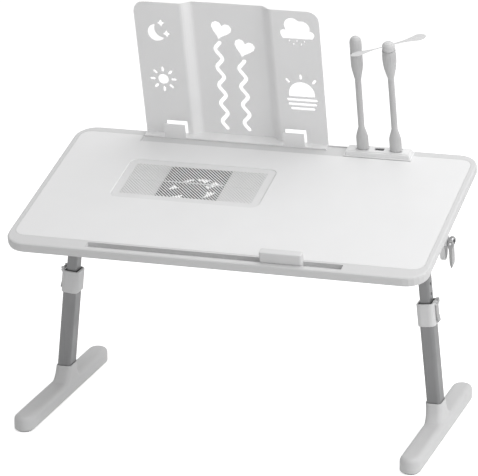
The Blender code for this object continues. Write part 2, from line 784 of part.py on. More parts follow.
def usb_hub(table):
    """The hub's chamfered housing, its three upright ports, the board they stand on and the power inlet."""
    length = HUB_RIGHT - HUB_LEFT
    depth = HUB_REAR - HUB_FRONT
    centre_x = (HUB_LEFT + HUB_RIGHT) / 2
    centre_y = (HUB_FRONT + HUB_REAR) / 2
    corner = HUB_SLOPE
    outer = slab(
        length,
        depth,
        corner,
        ((0, GAP), (0, HUB_WALL), (HUB_SLOPE * 0.8, HUB_HEIGHT - GAP), (HUB_SLOPE, HUB_HEIGHT)),
        x=centre_x,
        y=centre_y,
        steps=2,
    )
    inset = HUB_POCKET_MARGIN
    inner = box(
        (HUB_LEFT + inset, HUB_FRONT + inset, -OVERRUN),
        (HUB_RIGHT - inset, HUB_REAR - inset, HUB_HEIGHT - HUB_WALL),
    )
    holes = [
        box(
            (x - PORT_LENGTH / 2 - GAP, PORT_PLACE - PORT_WIDTH / 2 - GAP, -OVERRUN),
            (x + PORT_LENGTH / 2 + GAP, PORT_PLACE + PORT_WIDTH / 2 + GAP, HUB_HEIGHT + OVERRUN),
        )
        for x in port_places()
    ]
    place("hub_housing", cut(outer, inner, *holes), table, PLASTIC_WHITE)
    for name, x in zip(("left", "middle", "right"), port_places()):
        top = HUB_HEIGHT - GAP
        low = top - PORT_DEPTH - PORT_WALL
        left, right = x - PORT_LENGTH / 2, x + PORT_LENGTH / 2
        front, rear = PORT_PLACE - PORT_WIDTH / 2, PORT_PLACE + PORT_WIDTH / 2
        shell = box((left, front, low), (right, rear, top))
        bore = box(
            (left + PORT_WALL, front + PORT_WALL, low + PORT_WALL),
            (right - PORT_WALL, rear - PORT_WALL, top + OVERRUN),
        )
        place(f"usb_port_{name}", cut(shell, bore), table, STEEL)
    margin = HUB_POCKET_MARGIN + GAP
    board = box(
        (HUB_LEFT + margin, HUB_FRONT + margin, hub_board_top() - BOARD_THICKNESS),
        (HUB_RIGHT - margin, HUB_REAR - HUB_WALL - GAP, hub_board_top()),
    )
    place("hub_board", board, table, BOARD_GREEN)
    rear = TOP_DEPTH / 2 - GAP
    low = hub_board_top() + GAP
    shell = box(
        (INLET_PLACE - INLET_LENGTH / 2, rear - INLET_DEPTH - HUB_WALL, low),
        (INLET_PLACE + INLET_LENGTH / 2, rear, low + INLET_HEIGHT),
    )
    bore = box(
        (INLET_PLACE - INLET_LENGTH / 2 + PORT_WALL, rear - INLET_DEPTH, low + PORT_WALL),
        (INLET_PLACE + INLET_LENGTH / 2 - PORT_WALL, rear + OVERRUN, low + INLET_HEIGHT - PORT_WALL),
    )
    place("power_inlet", cut(shell, bore), table, STEEL)


def book_stop(table):
    """The stop that slides in the front slot, with a stem through the slit to a clip beneath."""
    way = empty("book_stop_way", (STOP_PLACE, -SLOT_CENTRE, 0), table)
    block = slab(
        STOP_LENGTH,
        STOP_DEPTH,
        STOP_ROUND * 2,
        (
            (STOP_ROUND / 2, GAP),
            (0, GAP + STOP_ROUND),
            (0, STOP_HEIGHT - STOP_ROUND),
            (STOP_ROUND * 0.3, STOP_HEIGHT - STOP_ROUND * 0.3),
            (STOP_ROUND, STOP_HEIGHT),
        ),
        steps=3,
    )
    foot_half = STOP_FOOT_LENGTH / 2
    foot_side = SLOT_WIDTH / 2 - GAP
    foot = box((-foot_half, -foot_side, -SLOT_DEPTH + GAP), (foot_half, foot_side, 2 * GAP))
    clip_high = -SLOT_DEPTH - SLOT_FLOOR - GAP
    half = CLIP_LENGTH / 4
    stem = box((-half, -SLIT_WIDTH / 2 + GAP, clip_high + GAP), (half, SLIT_WIDTH / 2 - GAP, 0))
    place("book_stop", joined(block, foot, stem), way, PLASTIC_WHITE)
    clip = box(
        (-CLIP_LENGTH / 2, -CLIP_WIDTH / 2, clip_high - CLIP_THICKNESS),
        (CLIP_LENGTH / 2, CLIP_WIDTH / 2, clip_high),
    )
    place("book_stop_clip", clip, way, PLASTIC_GREY)


def stand_face(x):
    """How far back the bookstand's front face lies at this distance from its middle."""
    inner = MIDDLE_LENGTH / 2
    share = min(max((abs(x) - inner) / RAMP_LENGTH, 0), 1)
    return MIDDLE_SET_BACK * (1 + math.cos(math.pi * share)) / 2


def stand_outline():
    """The bookstand seen from above: a bent sheet with its middle set back."""
    half = STAND_LENGTH / 2
    inner = MIDDLE_LENGTH / 2
    ramp = [inner + RAMP_LENGTH * step / RAMP_STEPS for step in range(RAMP_STEPS + 1)]
    places = [-half, *(-x for x in reversed(ramp)), *ramp, half]
    front = [(x, stand_face(x)) for x in places]
    rear = [(x, stand_face(x) + SHEET) for x in reversed(places)]
    return front + rear


def polygon_cutter(points):
    """A cutter along y through the bookstand, from an outline in x and z."""
    return plate_y(points, -OVERRUN, MIDDLE_SET_BACK + SHEET + OVERRUN)


def turned_points(points, turn, x, z):
    """Points turned about their own origin, then moved."""
    c, s = math.cos(turn), math.sin(turn)
    return [(x + px * c - pz * s, z + px * s + pz * c) for px, pz in points]


def moon_outline():
    """A crescent: the outer arc, then the bite's arc back."""
    distance = math.hypot(MOON_BITE_X, MOON_BITE_Z)
    towards = math.atan2(MOON_BITE_Z, MOON_BITE_X)
    along = (MOON_RADIUS ** 2 - MOON_BITE ** 2 + distance ** 2) / (2 * distance)
    outer_half = math.acos(along / MOON_RADIUS)
    inner_half = math.acos((along - distance) / MOON_BITE)
    steps = 12
    points = []
    for step in range(steps + 1):
        angle = towards + outer_half + (2 * math.pi - 2 * outer_half) * step / steps
        points.append((MOON_X + MOON_RADIUS * math.cos(angle), MOON_Z + MOON_RADIUS * math.sin(angle)))
    for step in range(1, steps):
        angle = towards - inner_half - (2 * math.pi - 2 * inner_half) * step / steps
        points.append(
            (
                MOON_X + MOON_BITE_X + MOON_BITE * math.cos(angle),
                MOON_Z + MOON_BITE_Z + MOON_BITE * math.sin(angle),
            )
        )
    return points


def star_outline(x, z):
    """A small star with four points."""
    points = []
    for step in range(8):
        radius = STAR_RADIUS * (1 if step % 2 == 0 else STAR_WAIST_SHARE)
        angle = step * math.pi / 4
        points.append((x + radius * math.cos(angle), z + radius * math.sin(angle)))
    return points


def bar_outline(x, z, length, width, turn=0):
    """A bar with pointed-round ends, centred on a place."""
    half, edge = length / 2, width / 2
    corner = half - edge
    points = [(-half, 0), (-corner, -edge), (corner, -edge), (half, 0), (corner, edge), (-corner, edge)]
    return turned_points(points, turn, x, z)


def ray_outline(x, z, inner, outer, turn):
    """A ray that points away from a centre."""
    middle = (inner + outer) / 2
    return bar_outline(x + middle * math.cos(turn), z + middle * math.sin(turn), outer - inner, RAY_WIDTH, turn)


def heart_outline(x, z):
    """A heart on the usual curve, turned a little clockwise."""
    points = []
    steps = 18
    for step in range(steps):
        t = 2 * math.pi * step / steps
        across = math.sin(t) ** 3
        up = (13 * math.cos(t) - 5 * math.cos(2 * t) - 2 * math.cos(3 * t) - math.cos(4 * t)) / 16
        points.append((across * HEART_SIZE, up * HEART_SIZE))
    return turned_points(points, HEART_TURN, x, z)


def string_place(x, z):
    """The middle of a wavy string at this height: furthest left at each whole pitch above its lowest turn."""
    phase = (z - STRING_TURN) / STRING_PITCH % 1
    if phase < STRING_RISE_SHARE:
        angle = math.pi * (phase / STRING_RISE_SHARE - 0.5)
    else:
        angle = math.pi * (0.5 + (phase - STRING_RISE_SHARE) / (1 - STRING_RISE_SHARE))
    swing = math.asin(STRING_BEND_SHARE * math.sin(angle)) / math.asin(STRING_BEND_SHARE)
    return Vector((x + STRING_SWING * swing, z))


def string_outline(x, high):
    """A wavy string that hangs from a heart: a band of even width with round ends."""
    steps = round((high - STRING_FOOT) / STRING_PITCH * 12)
    heights = [STRING_FOOT + (high - STRING_FOOT) * step / steps for step in range(steps + 1)]
    middle = [string_place(x, z) for z in heights]
    left, right = [], []
    for i, point in enumerate(middle):
        along = (middle[min(i + 1, steps)] - middle[max(i - 1, 0)]).normalized()
        across = Vector((along.y, -along.x)) * STRING_WIDTH / 2
        left.append(point - across)
        right.append(point + across)
    caps = []
    for corner, point in ((left[-1], middle[-1]), (right[0], middle[0])):
        across = corner - point
        beyond = Vector((across.y, -across.x))
        turns = [math.pi * quarter / 4 for quarter in (1, 2, 3)]
        caps.append([point + across * math.cos(a) + beyond * math.sin(a) for a in turns])
    return [*left, *caps[0], *reversed(right), *caps[1]]


def cloud_outline():
    """A cloud: the upper edge of overlapping discs over a flat foot."""
    discs = [
        (CLOUD_X + sx * CLOUD_LENGTH, CLOUD_Z + sz * CLOUD_HEIGHT, radius * CLOUD_HEIGHT)
        for sx, sz, radius in CLOUD_SHARES
    ]
    centre_z = CLOUD_Z + CLOUD_HEIGHT * CLOUD_SHARES[0][2]
    points = []
    steps = 26
    for step in range(steps + 1):
        angle = math.pi * step / steps
        away = Vector((math.cos(angle), math.sin(angle)))
        reach = 0
        for dx, dz, radius in discs:
            to = Vector((dx - CLOUD_X, dz - centre_z))
            along = to.dot(away)
            inside = radius ** 2 - (to.length_squared - along ** 2)
            if inside > 0:
                reach = max(reach, along + math.sqrt(inside))
        points.append((CLOUD_X + away.x * reach, centre_z + away.y * reach))
    right, left = points[0], points[-1]
    return [*points, (left[0] + STRING_WIDTH / 2, CLOUD_Z), (right[0] - STRING_WIDTH / 2, CLOUD_Z)]


def dusk_outline():
    """The half disc of the setting sun."""
    steps = 12
    arc = [math.pi * step / steps for step in range(steps + 1)]
    points = [(DUSK_X + DUSK_RADIUS * math.cos(a), DUSK_Z + DUSK_RISE + DUSK_RADIUS * math.sin(a)) for a in arc]
    return [*points, (DUSK_X - DUSK_RADIUS, DUSK_Z), (DUSK_X + DUSK_RADIUS, DUSK_Z)]


def stand_cutters():
    """Every cut-out in the bookstand."""
    outlines = [moon_outline(), cloud_outline(), dusk_outline()]
    outlines += [star_outline(x, z) for x, z in STAR_PLACES]
    outlines.append([(SUN_X + x, SUN_Z + z) for x, z in circle(SUN_RADIUS, SMALL_SIDES)])
    for ray in range(SUN_RAYS):
        outlines.append(ray_outline(SUN_X, SUN_Z, RAY_INNER, RAY_OUTER, 2 * math.pi * ray / SUN_RAYS))
    outlines += [heart_outline(x, z) for x, z in HEART_PLACES]
    outlines += [string_outline(x, high) for x, high in STRING_PLACES]
    for x, drop in DROP_PLACES:
        outlines.append(bar_outline(CLOUD_X + x, CLOUD_Z - drop, DROP_LENGTH, DROP_WIDTH, math.pi / 2))
    for turn in DUSK_RAYS:
        outlines.append(ray_outline(DUSK_X, DUSK_Z, DUSK_RAY_INNER, DUSK_RAY_OUTER, turn))
    for number, length in enumerate(BAR_LENGTHS):
        outlines.append(bar_outline(DUSK_X, DUSK_Z - BAR_PITCH * (number + 0.75), length, BAR_WIDTH))
    ledge_top = SHEET - TROUGH_DEPTH + 2 * GAP
    for side in (-1, 1):
        left = side * TAB_OFFSET - TAB_LENGTH / 2
        right = left + TAB_LENGTH
        outlines.append([(left, ledge_top), (right, ledge_top), (right, TAB_TOP), (left, TAB_TOP)])
    return gathered([polygon_cutter(points) for points in outlines])


def bookstand(table):
    """The bent sheet that holds an open book, with its ledge, two tabs and two tongues into the trough."""
    stand = empty("bookstand_seat", (STAND_CENTRE, WING_FACE, 0), table)
    low = -TROUGH_DEPTH + GAP
    sheet = prism(stand_outline(), low, STAND_TOP)
    half = STAND_LENGTH / 2
    corners = []
    for side in (-1, 1):
        arc = [math.pi / 2 * step / CORNER_STEPS for step in range(CORNER_STEPS + 1)]
        centre = half - STAND_CORNER
        points = [
            (side * (centre + STAND_CORNER * math.sin(a)), STAND_TOP - STAND_CORNER + STAND_CORNER * math.cos(a))
            for a in arc
        ]
        outside = (side * (half + OVERRUN), STAND_TOP - STAND_CORNER)
        above = (side * centre, STAND_TOP + OVERRUN)
        corner = (side * (half + OVERRUN), STAND_TOP + OVERRUN)
        corners.append(polygon_cutter([*points, outside, corner, above]))
    depth = WING_FACE - LEDGE_FRONT
    ledge_outline = [(-half, -depth), (half, -depth), *stand_outline()[len(stand_outline()) // 2 :]]
    ledge = prism(ledge_outline, low, low + SHEET)
    tabs = [
        box(
            (side * TAB_OFFSET - TAB_LENGTH / 2, -depth, low + SHEET / 2),
            (side * TAB_OFFSET + TAB_LENGTH / 2, -depth + SHEET, TAB_TOP),
        )
        for side in (-1, 1)
    ]
    tongues = [
        box(
            (side * TONGUE_OFFSET - TONGUE_LENGTH / 2, 0, -TROUGH_DEPTH - TONGUE_DEPTH),
            (side * TONGUE_OFFSET + TONGUE_LENGTH / 2, SHEET, low + SHEET / 2),
        )
        for side in (-1, 1)
    ]
    body = cut(joined(sheet, ledge, *tabs, *tongues), stand_cutters(), *corners)
    place("bookstand", body, stand, PLASTIC_RIM)


def stick_centre(height, neck_end, top, side, back):
    """Where a stick's soft neck has bent to at this height: straight, bent evenly, then straight again."""
    bend = neck_end - STICK_NECK_START
    slope_length = top - STICK_NECK_START - bend / 2
    if height <= STICK_NECK_START:
        share = 0
    elif height <= neck_end:
        share = (height - STICK_NECK_START) ** 2 / (2 * bend) / slope_length
    else:
        share = (height - STICK_NECK_START - bend / 2) / slope_length
    return side * share, back * share


def stick_frame(height, neck_end, top, side, back):
    """The place and lean of a stick's section at this height."""
    bend = neck_end - STICK_NECK_START
    slope_length = top - STICK_NECK_START - bend / 2
    share = min(max((height - STICK_NECK_START) / bend, 0), 1)
    leaned = Vector((side * share / slope_length, back * share / slope_length, 1))
    x, y = stick_centre(height, neck_end, top, side, back)
    return Matrix.Translation((x, y, height)) @ Vector((0, 0, 1)).rotation_difference(leaned).to_matrix().to_4x4()


def oval(width, depth, height=0, sides=STICK_SIDES):
    """An oval ring at a height."""
    turns = [2 * math.pi * i / sides for i in range(sides)]
    return [Vector((width / 2 * math.cos(a), depth / 2 * math.sin(a), height)) for a in turns]


def turned(profile):
    """A solid turned about z through (radius, height) pairs."""
    return loft([oval(2 * radius, 2 * radius, height) for radius, height in profile])


def stick_body(neck_end, head_start, head_end, top, radius, side, back):
    """A stick's soft body: a flat plug housing, a thin neck and a round head."""
    base = (STICK_BASE_WIDTH, STICK_BASE_DEPTH)
    neck = (STICK_NECK_WIDTH, STICK_NECK_DEPTH)
    head = (2 * radius, 2 * radius)
    levels = [(GAP, base, 0.94), (GAP * 6, base, 1), (STICK_BASE_END, base, 1)]
    levels += [((STICK_BASE_END * 2 + STICK_NECK_START) / 3, base, 0.88), (STICK_NECK_START, neck, 1)]
    for step in range(1, 4):
        levels.append((STICK_NECK_START + (neck_end - STICK_NECK_START) * step / 4, neck, 1))
    levels += [(neck_end, neck, 1), ((neck_end * 2 + head_start) / 3, head, 0.70)]
    levels += [((neck_end + head_start * 2) / 3, head, 0.90), (head_start, head, 1), (head_end, head, 1)]
    rings = []
    for height, (width, depth), share in levels:
        frame = stick_frame(height, neck_end, top, side, back)
        rings.append([frame @ point for point in oval(width * share, depth * share)])
    return loft(rings)


def stick_plug(name, stick):
    """A USB plug's metal shell, open downwards."""
    wide = PORT_LENGTH - 2 * PORT_WALL - 2 * GAP
    deep = PORT_WIDTH - 2 * PORT_WALL - 2 * GAP
    shell = box((-wide / 2, -deep / 2, -PLUG_LENGTH), (wide / 2, deep / 2, 0))
    bore = box(
        (-wide / 2 + PLUG_WALL, -deep / 2 + PLUG_WALL, -PLUG_LENGTH - OVERRUN),
        (wide / 2 - PLUG_WALL, deep / 2 - PLUG_WALL, -PLUG_WALL),
    )
    place(name, cut(shell, bore), stick, STEEL)


def lamp_stick(table):
    """The plug-in lamp: body, milky cover and plug."""
    stick = empty("lamp_seat", (port_places()[0], PORT_PLACE, HUB_HEIGHT), table)
    lean = (LAMP_LEAN_SIDE, LAMP_LEAN_BACK)
    body = stick_body(LAMP_NECK_END, LAMP_HEAD_START, LAMP_COVER_START - GAP, LAMP_TOP, LAMP_RADIUS, *lean)
    place("lamp_stick", body, stick, SILICONE)
    head = empty("lamp_head", (0, 0, 0), stick)
    head.matrix_basis = stick_frame(LAMP_COVER_START, LAMP_NECK_END, LAMP_TOP, *lean)
    height = LAMP_TOP - LAMP_COVER_START
    straight = height - LAMP_RADIUS
    profile = [(LAMP_RADIUS, 2 * GAP), (LAMP_RADIUS, straight)]
    profile += [
        (LAMP_RADIUS * math.cos(a), straight + LAMP_RADIUS * math.sin(a))
        for a in (math.radians(25), math.radians(50), math.radians(72))
    ]
    inside = LAMP_RADIUS - LAMP_WALL
    hollow = [
        (inside, -OVERRUN),
        (inside, straight),
        (inside * math.cos(math.pi / 4), straight + inside * math.sin(math.pi / 4)),
    ]
    place("lamp_cover", cut(turned(profile), turned(hollow)), head, PLASTIC_CLEAR)
    stick_plug("lamp_plug", stick)


def paddle(direction):
    """One soft propeller blade: thin at its root, widest near its tip, and pitched."""
    rings = []
    table_of_shares = ((0.0, 0.22), (0.35, 0.34), (0.60, 0.72), (0.78, 1.0), (0.92, 0.82), (1.0, 0.36))
    for along_share, width_share in table_of_shares:
        x = PROPELLER_ROOT + (PROPELLER_REACH - PROPELLER_ROOT) * along_share
        half = PADDLE_WIDTH * width_share / 2
        thick = PADDLE_THICKNESS / 2
        ring = [(x, -half, 0), (x, 0, -thick), (x, half, 0), (x, 0, thick)]
        rings.append(ring)
    blade = loft(rings)
    moved(blade, Matrix.Rotation(PROPELLER_PITCH, 4, "X"))
    return moved(blade, Matrix.Rotation(direction, 4, "Z"))


def fan_stick(table):
    """The plug-in fan: body, plug, motor, and the propeller on the motor's shaft."""
    stick = empty("fan_seat", (port_places()[2], PORT_PLACE, HUB_HEIGHT), table)
    lean = (FAN_LEAN_SIDE, FAN_LEAN_BACK)
    body = stick_body(FAN_NECK_END, FAN_HEAD_START, FAN_HEAD_TOP, FAN_TOP, FAN_RADIUS, *lean)
    turn = stick_frame(FAN_HEAD_TOP, FAN_NECK_END, FAN_TOP, *lean)
    head = empty("fan_head", (0, 0, 0), stick)
    head.matrix_basis = turn
    well = rod(MOTOR_RADIUS + GAP, -MOTOR_LENGTH - GAP, OVERRUN, STICK_SIDES)
    place("fan_stick", cut(body, moved(well, turn)), stick, SILICONE)
    motor = joined(
        rod(MOTOR_RADIUS, -MOTOR_LENGTH, -GAP, STICK_SIDES),
        rod(SHAFT_RADIUS, -MOTOR_LENGTH / 2, SHAFT_LENGTH, SMALL_SIDES),
    )
    place("fan_motor", motor, head, STEEL)
    stick_plug("fan_plug", stick)
    height = FAN_TOP - FAN_HEAD_TOP
    low = 2 * GAP
    profile = (
        (FAN_RADIUS * 0.94, low),
        (FAN_RADIUS * 0.97, height * 0.45),
        (FAN_RADIUS * 0.88, height * 0.72),
        (FAN_RADIUS * 0.62, height * 0.92),
        (FAN_RADIUS * 0.30, height),
    )
    cap = turned(profile)
    blades = [shifted(paddle(PROPELLER_TURN + side * math.pi), z=height * 0.58) for side in (0, 1)]
    bore = rod(SHAFT_RADIUS + GAP / 2, -OVERRUN, SHAFT_LENGTH + GAP, SMALL_SIDES)
    place("propeller", cut(joined(cap, *blades), bore), head, SILICONE)


def folding_bracket(table, word, side):
    """The hinged bracket under one end: a screwed base, its pin, and the yoke that carries the tilt joint."""
    fold = empty(f"{word}_fold_axis", (side * FOLD_X, PIVOT_V, -FOLD_DROP), table)
    top = UNDERSIDE - GAP + FOLD_DROP
    inner, outer = BASE_INNER - FOLD_X, BASE_OUTER - FOLD_X
    base = box((inner, -BASE_WIDTH / 2, top - BASE_THICKNESS), (outer, BASE_WIDTH / 2, top))
    lugs = []
    for end in (-1, 1):
        middle = end * (BASE_WIDTH / 2 - LUG_LENGTH / 2)
        lugs.append(
            box(
                (-BARREL_RADIUS, middle - LUG_LENGTH / 2, -BARREL_RADIUS),
                (BARREL_RADIUS, middle + LUG_LENGTH / 2, top - BASE_THICKNESS / 2),
            )
        )
    holes = [rod_y(FOLD_PIN_RADIUS + GAP, -BASE_WIDTH, BASE_WIDTH)]
    screw_y = BASE_WIDTH / 2 - SCREW_HEAD - LUG_LENGTH / 2
    screw_x = SCREW_X - FOLD_X
    low = top - BASE_THICKNESS - OVERRUN
    for end in (-1, 1):
        holes.append(rod(SCREW_SHANK + GAP, low, top + OVERRUN, SMALL_SIDES, screw_x, end * screw_y))
    place(f"{word}_bracket_base", cut(joined(base, *lugs), *holes), fold, STEEL, side)
    place(f"{word}_fold_pin", rod_y(FOLD_PIN_RADIUS, -BASE_WIDTH / 2, BASE_WIDTH / 2), fold, STEEL, side)
    for end, end_word in ((-1, "front"), (1, "rear")):
        head = top - BASE_THICKNESS - GAP
        screw = joined(
            rod(SCREW_HEAD, head - SCREW_HEAD_HEIGHT, head, SMALL_SIDES, screw_x, end * screw_y),
            rod(SCREW_SHANK, head - SCREW_HEAD_HEIGHT / 2, top + GAP / 2, SMALL_SIDES, screw_x, end * screw_y),
        )
        place(f"{word}_{end_word}_screw", screw, fold, STEEL, side)
    return fold


def yoke(fold, word, side):
    """The swinging yoke: a barrel on the fold pin, a plate, an inner cheek and the rounded outer ear."""
    top = UNDERSIDE - GAP + FOLD_DROP - BASE_THICKNESS - 2 * GAP
    pivot_z = PIVOT_W + FOLD_DROP
    outer = EAR_OUTER - FOLD_X
    inner = CHEEK_INNER - FOLD_X
    plate = box((GAP, -YOKE_WIDTH / 2, top - YOKE_PLATE), (outer, YOKE_WIDTH / 2, top))
    barrel = rod_y(BARREL_RADIUS, -YOKE_WIDTH / 2, YOKE_WIDTH / 2)
    cheek_top = math.sqrt((top + GAP) ** 2 - inner ** 2)
    parts = [barrel, rod_x(BOSS_RADIUS, outer - EAR_THICKNESS / 2, outer + BOSS_HEIGHT, 0, pivot_z)]
    arc = [math.pi * (1 + step / 8) for step in range(9)]
    for x0, x1, width, high, low in (
        (inner, inner + CHEEK_THICKNESS, CHEEK_WIDTH, cheek_top, pivot_z),
        (outer - EAR_THICKNESS, outer, EAR_WIDTH, top - GAP, pivot_z - EAR_DROP),
    ):
        half = width / 2
        outline = [(half, high), (-half, high)]
        outline += [(half * math.cos(a), low + half * math.sin(a)) for a in arc]
        parts.append(plate_x(outline, x0, x1))
    pin_hole = rod_y(FOLD_PIN_RADIUS + GAP, -YOKE_WIDTH, YOKE_WIDTH)
    bolt_hole = rod_x(BOLT_RADIUS + GAP, inner - OVERRUN, outer + BOSS_HEIGHT + OVERRUN, 0, pivot_z)
    nut_end = inner + NUT_HEIGHT - NUT_PROUD + GAP
    nut_well = rod_x(NUT_RADIUS + 2 * GAP, inner - OVERRUN, nut_end, 0, pivot_z, 6)
    screw_y = BASE_WIDTH / 2 - SCREW_HEAD - LUG_LENGTH / 2
    screw_x = SCREW_X - FOLD_X
    low = top - YOKE_PLATE - OVERRUN
    reliefs = [
        rod(SCREW_HEAD + 2 * GAP, low, top + OVERRUN, SMALL_SIDES, screw_x, end * screw_y)
        for end in (-1, 1)
    ]
    body = cut(joined(plate, *parts), pin_hole, bolt_hole, nut_well, *reliefs)
    place(f"{word}_yoke", body, fold, PLASTIC_WHITE, side)


def tilt_bolt_and_lever(fold, word, side):
    """The bolt through the tilt joint, its cross pin and the cam lever that draws it tight."""
    pivot_z = PIVOT_W + FOLD_DROP
    bolt = empty(f"{word}_bolt_axis", (0, 0, pivot_z), fold)
    pin_x = CAM_PIN_X - FOLD_X
    start = CHEEK_INNER - FOLD_X - NUT_PROUD
    end = EAR_OUTER + BOSS_HEIGHT - FOLD_X
    shaft = rod_x(BOLT_RADIUS, start + NUT_HEIGHT / 2, end + GAP * 1.5, 0, 0)
    nut = rod_x(NUT_RADIUS, start, start + NUT_HEIGHT, 0, 0, 6)
    eye = joined(
        box((end + GAP, -EYE_WIDTH / 2, -BOLT_RADIUS), (pin_x, EYE_WIDTH / 2, BOLT_RADIUS)),
        rod_y(BOLT_RADIUS, -EYE_WIDTH / 2, EYE_WIDTH / 2, pin_x, 0),
    )
    hole = rod_y(CAM_PIN_RADIUS + GAP, -EYE_WIDTH, EYE_WIDTH, pin_x, 0, SMALL_SIDES)
    place(f"{word}_tilt_bolt", cut(joined(shaft, nut, eye), hole), bolt, STEEL, side)
    hinge = empty(f"{word}_tilt_lever_axis", (side * pin_x, 0, 0), bolt)
    pin = rod_y(CAM_PIN_RADIUS, -LEVER_WIDTH / 2, LEVER_WIDTH / 2, 0, 0, SMALL_SIDES)
    place(f"{word}_lever_pin", pin, hinge, STEEL, side)
    outline = [(x * LEVER_LENGTH, z * LEVER_LENGTH) for x, z in LEVER_SHARES]
    arm = plate_y(outline, -LEVER_WIDTH / 2, LEVER_WIDTH / 2)
    fork = box(
        (-LEVER_LENGTH, -EYE_WIDTH / 2 - GAP, -BOLT_RADIUS - GAP),
        (LEVER_LENGTH, EYE_WIDTH / 2 + GAP, LEVER_LENGTH),
    )
    pin_hole = rod_y(CAM_PIN_RADIUS + GAP, -LEVER_WIDTH, LEVER_WIDTH, 0, 0, SMALL_SIDES)
    place(f"{word}_tilt_lever", cut(arm, fork, pin_hole), hinge, PLASTIC_GREY, side)


def leg_axes(word, side):
    """The leg's empties: one upright on the tilt axis and one along the sloping tube from the floor."""
    floor = empty(f"{word}_leg_floor", (side * LEG_SPREAD, LEG_PLACE, 0))
    tube = empty(f"{word}_leg_tube", (0, 0, 0), floor, (0, -side * LEG_SPLAY, 0))
    return floor, tube


def tilt_head(floor, word, side):
    """The leg's head on the tilt bolt, and the toothed disc between it and the outer ear."""
    first = CHEEK_INNER + CHEEK_THICKNESS + GAP - LEG_SPREAD
    last = first + HEAD_WIDTH
    z = PIVOT_HEIGHT
    barrel = rod_x(HEAD_RADIUS, first, last, 0, z)
    neck = box((first, -HEAD_NECK_WIDTH / 2, z - HEAD_DROP), (last, HEAD_NECK_WIDTH / 2, z - HEAD_NECK_TOP))
    socket = slab(
        INNER_WIDTH + 2 * GAP,
        INNER_DEPTH + 2 * GAP,
        INNER_ROUND,
        ((0, PIVOT_ALONG - HEAD_DROP * 2), (0, PIVOT_ALONG - HEAD_SOCKET)),
        steps=2,
    )
    moved(socket, Matrix.Rotation(-LEG_SPLAY, 4, "Y"))
    bore = rod_x(BOLT_RADIUS + GAP, first - OVERRUN, last + OVERRUN, 0, z)
    place(f"{word}_leg_head", cut(joined(barrel, neck), socket, bore), floor, PLASTIC_WHITE, side)
    disc_in = last + GAP
    disc_out = EAR_OUTER - EAR_THICKNESS - GAP - LEG_SPREAD
    rings = []
    for x in (disc_in, disc_out):
        ring = []
        for tooth in range(DISC_TEETH * 2):
            radius = DISC_RADIUS * (1 if tooth % 2 == 0 else 0.93)
            angle = math.pi * tooth / DISC_TEETH
            ring.append((x, radius * math.cos(angle), z + radius * math.sin(angle)))
        rings.append(ring)
    bore = rod_x(BOLT_RADIUS + GAP, disc_in - OVERRUN, disc_out + OVERRUN, 0, z)
    place(f"{word}_tilt_disc", cut(loft(rings), bore), floor, PLASTIC_GREY, side)


def hollow_tube(width, depth, corner, wall, low, high, steps=3):
    """A rounded rectangular tube, open at both ends."""
    body = slab(width, depth, corner, ((0, low), (0, high)), steps=steps)
    bore = slab(
        width - 2 * wall,
        depth - 2 * wall,
        corner - wall,
        ((0, low - OVERRUN), (0, high + OVERRUN)),
        steps=steps,
    )
    return cut(body, bore)


def leg_tubes(tube, word, side):
    """The sliding inner tube with its row of height marks, and the outer tube in the foot."""
    top = PIVOT_ALONG - HEAD_SOCKET - GAP
    inner = hollow_tube(INNER_WIDTH, INNER_DEPTH, INNER_ROUND, INNER_WALL, INNER_FOOT, top)
    marks = [
        rod_x(MARK_HOLE, 0, INNER_WIDTH, 0, CLAMP_HEIGHT + MARK_PITCH * number, SMALL_SIDES)
        for number in range(MARK_COUNT)
    ]
    place(f"{word}_inner_tube", cut(inner, gathered(marks)), tube, TUBE_METAL, side)
    high = COLLAR_HIGH - COLLAR_LIP - GAP
    outer = hollow_tube(OUTER_WIDTH, OUTER_DEPTH, OUTER_ROUND, OUTER_WALL, OUTER_FOOT, high)
    window = box(
        (0, -SHOE_WIDTH / 2 - GAP, CLAMP_HEIGHT - SHOE_HEIGHT / 2 - GAP),
        (OUTER_WIDTH, SHOE_WIDTH / 2 + GAP, CLAMP_HEIGHT + SHOE_HEIGHT / 2 + GAP),
    )
    place(f"{word}_outer_tube", cut(outer, window), tube, TUBE_METAL, side)


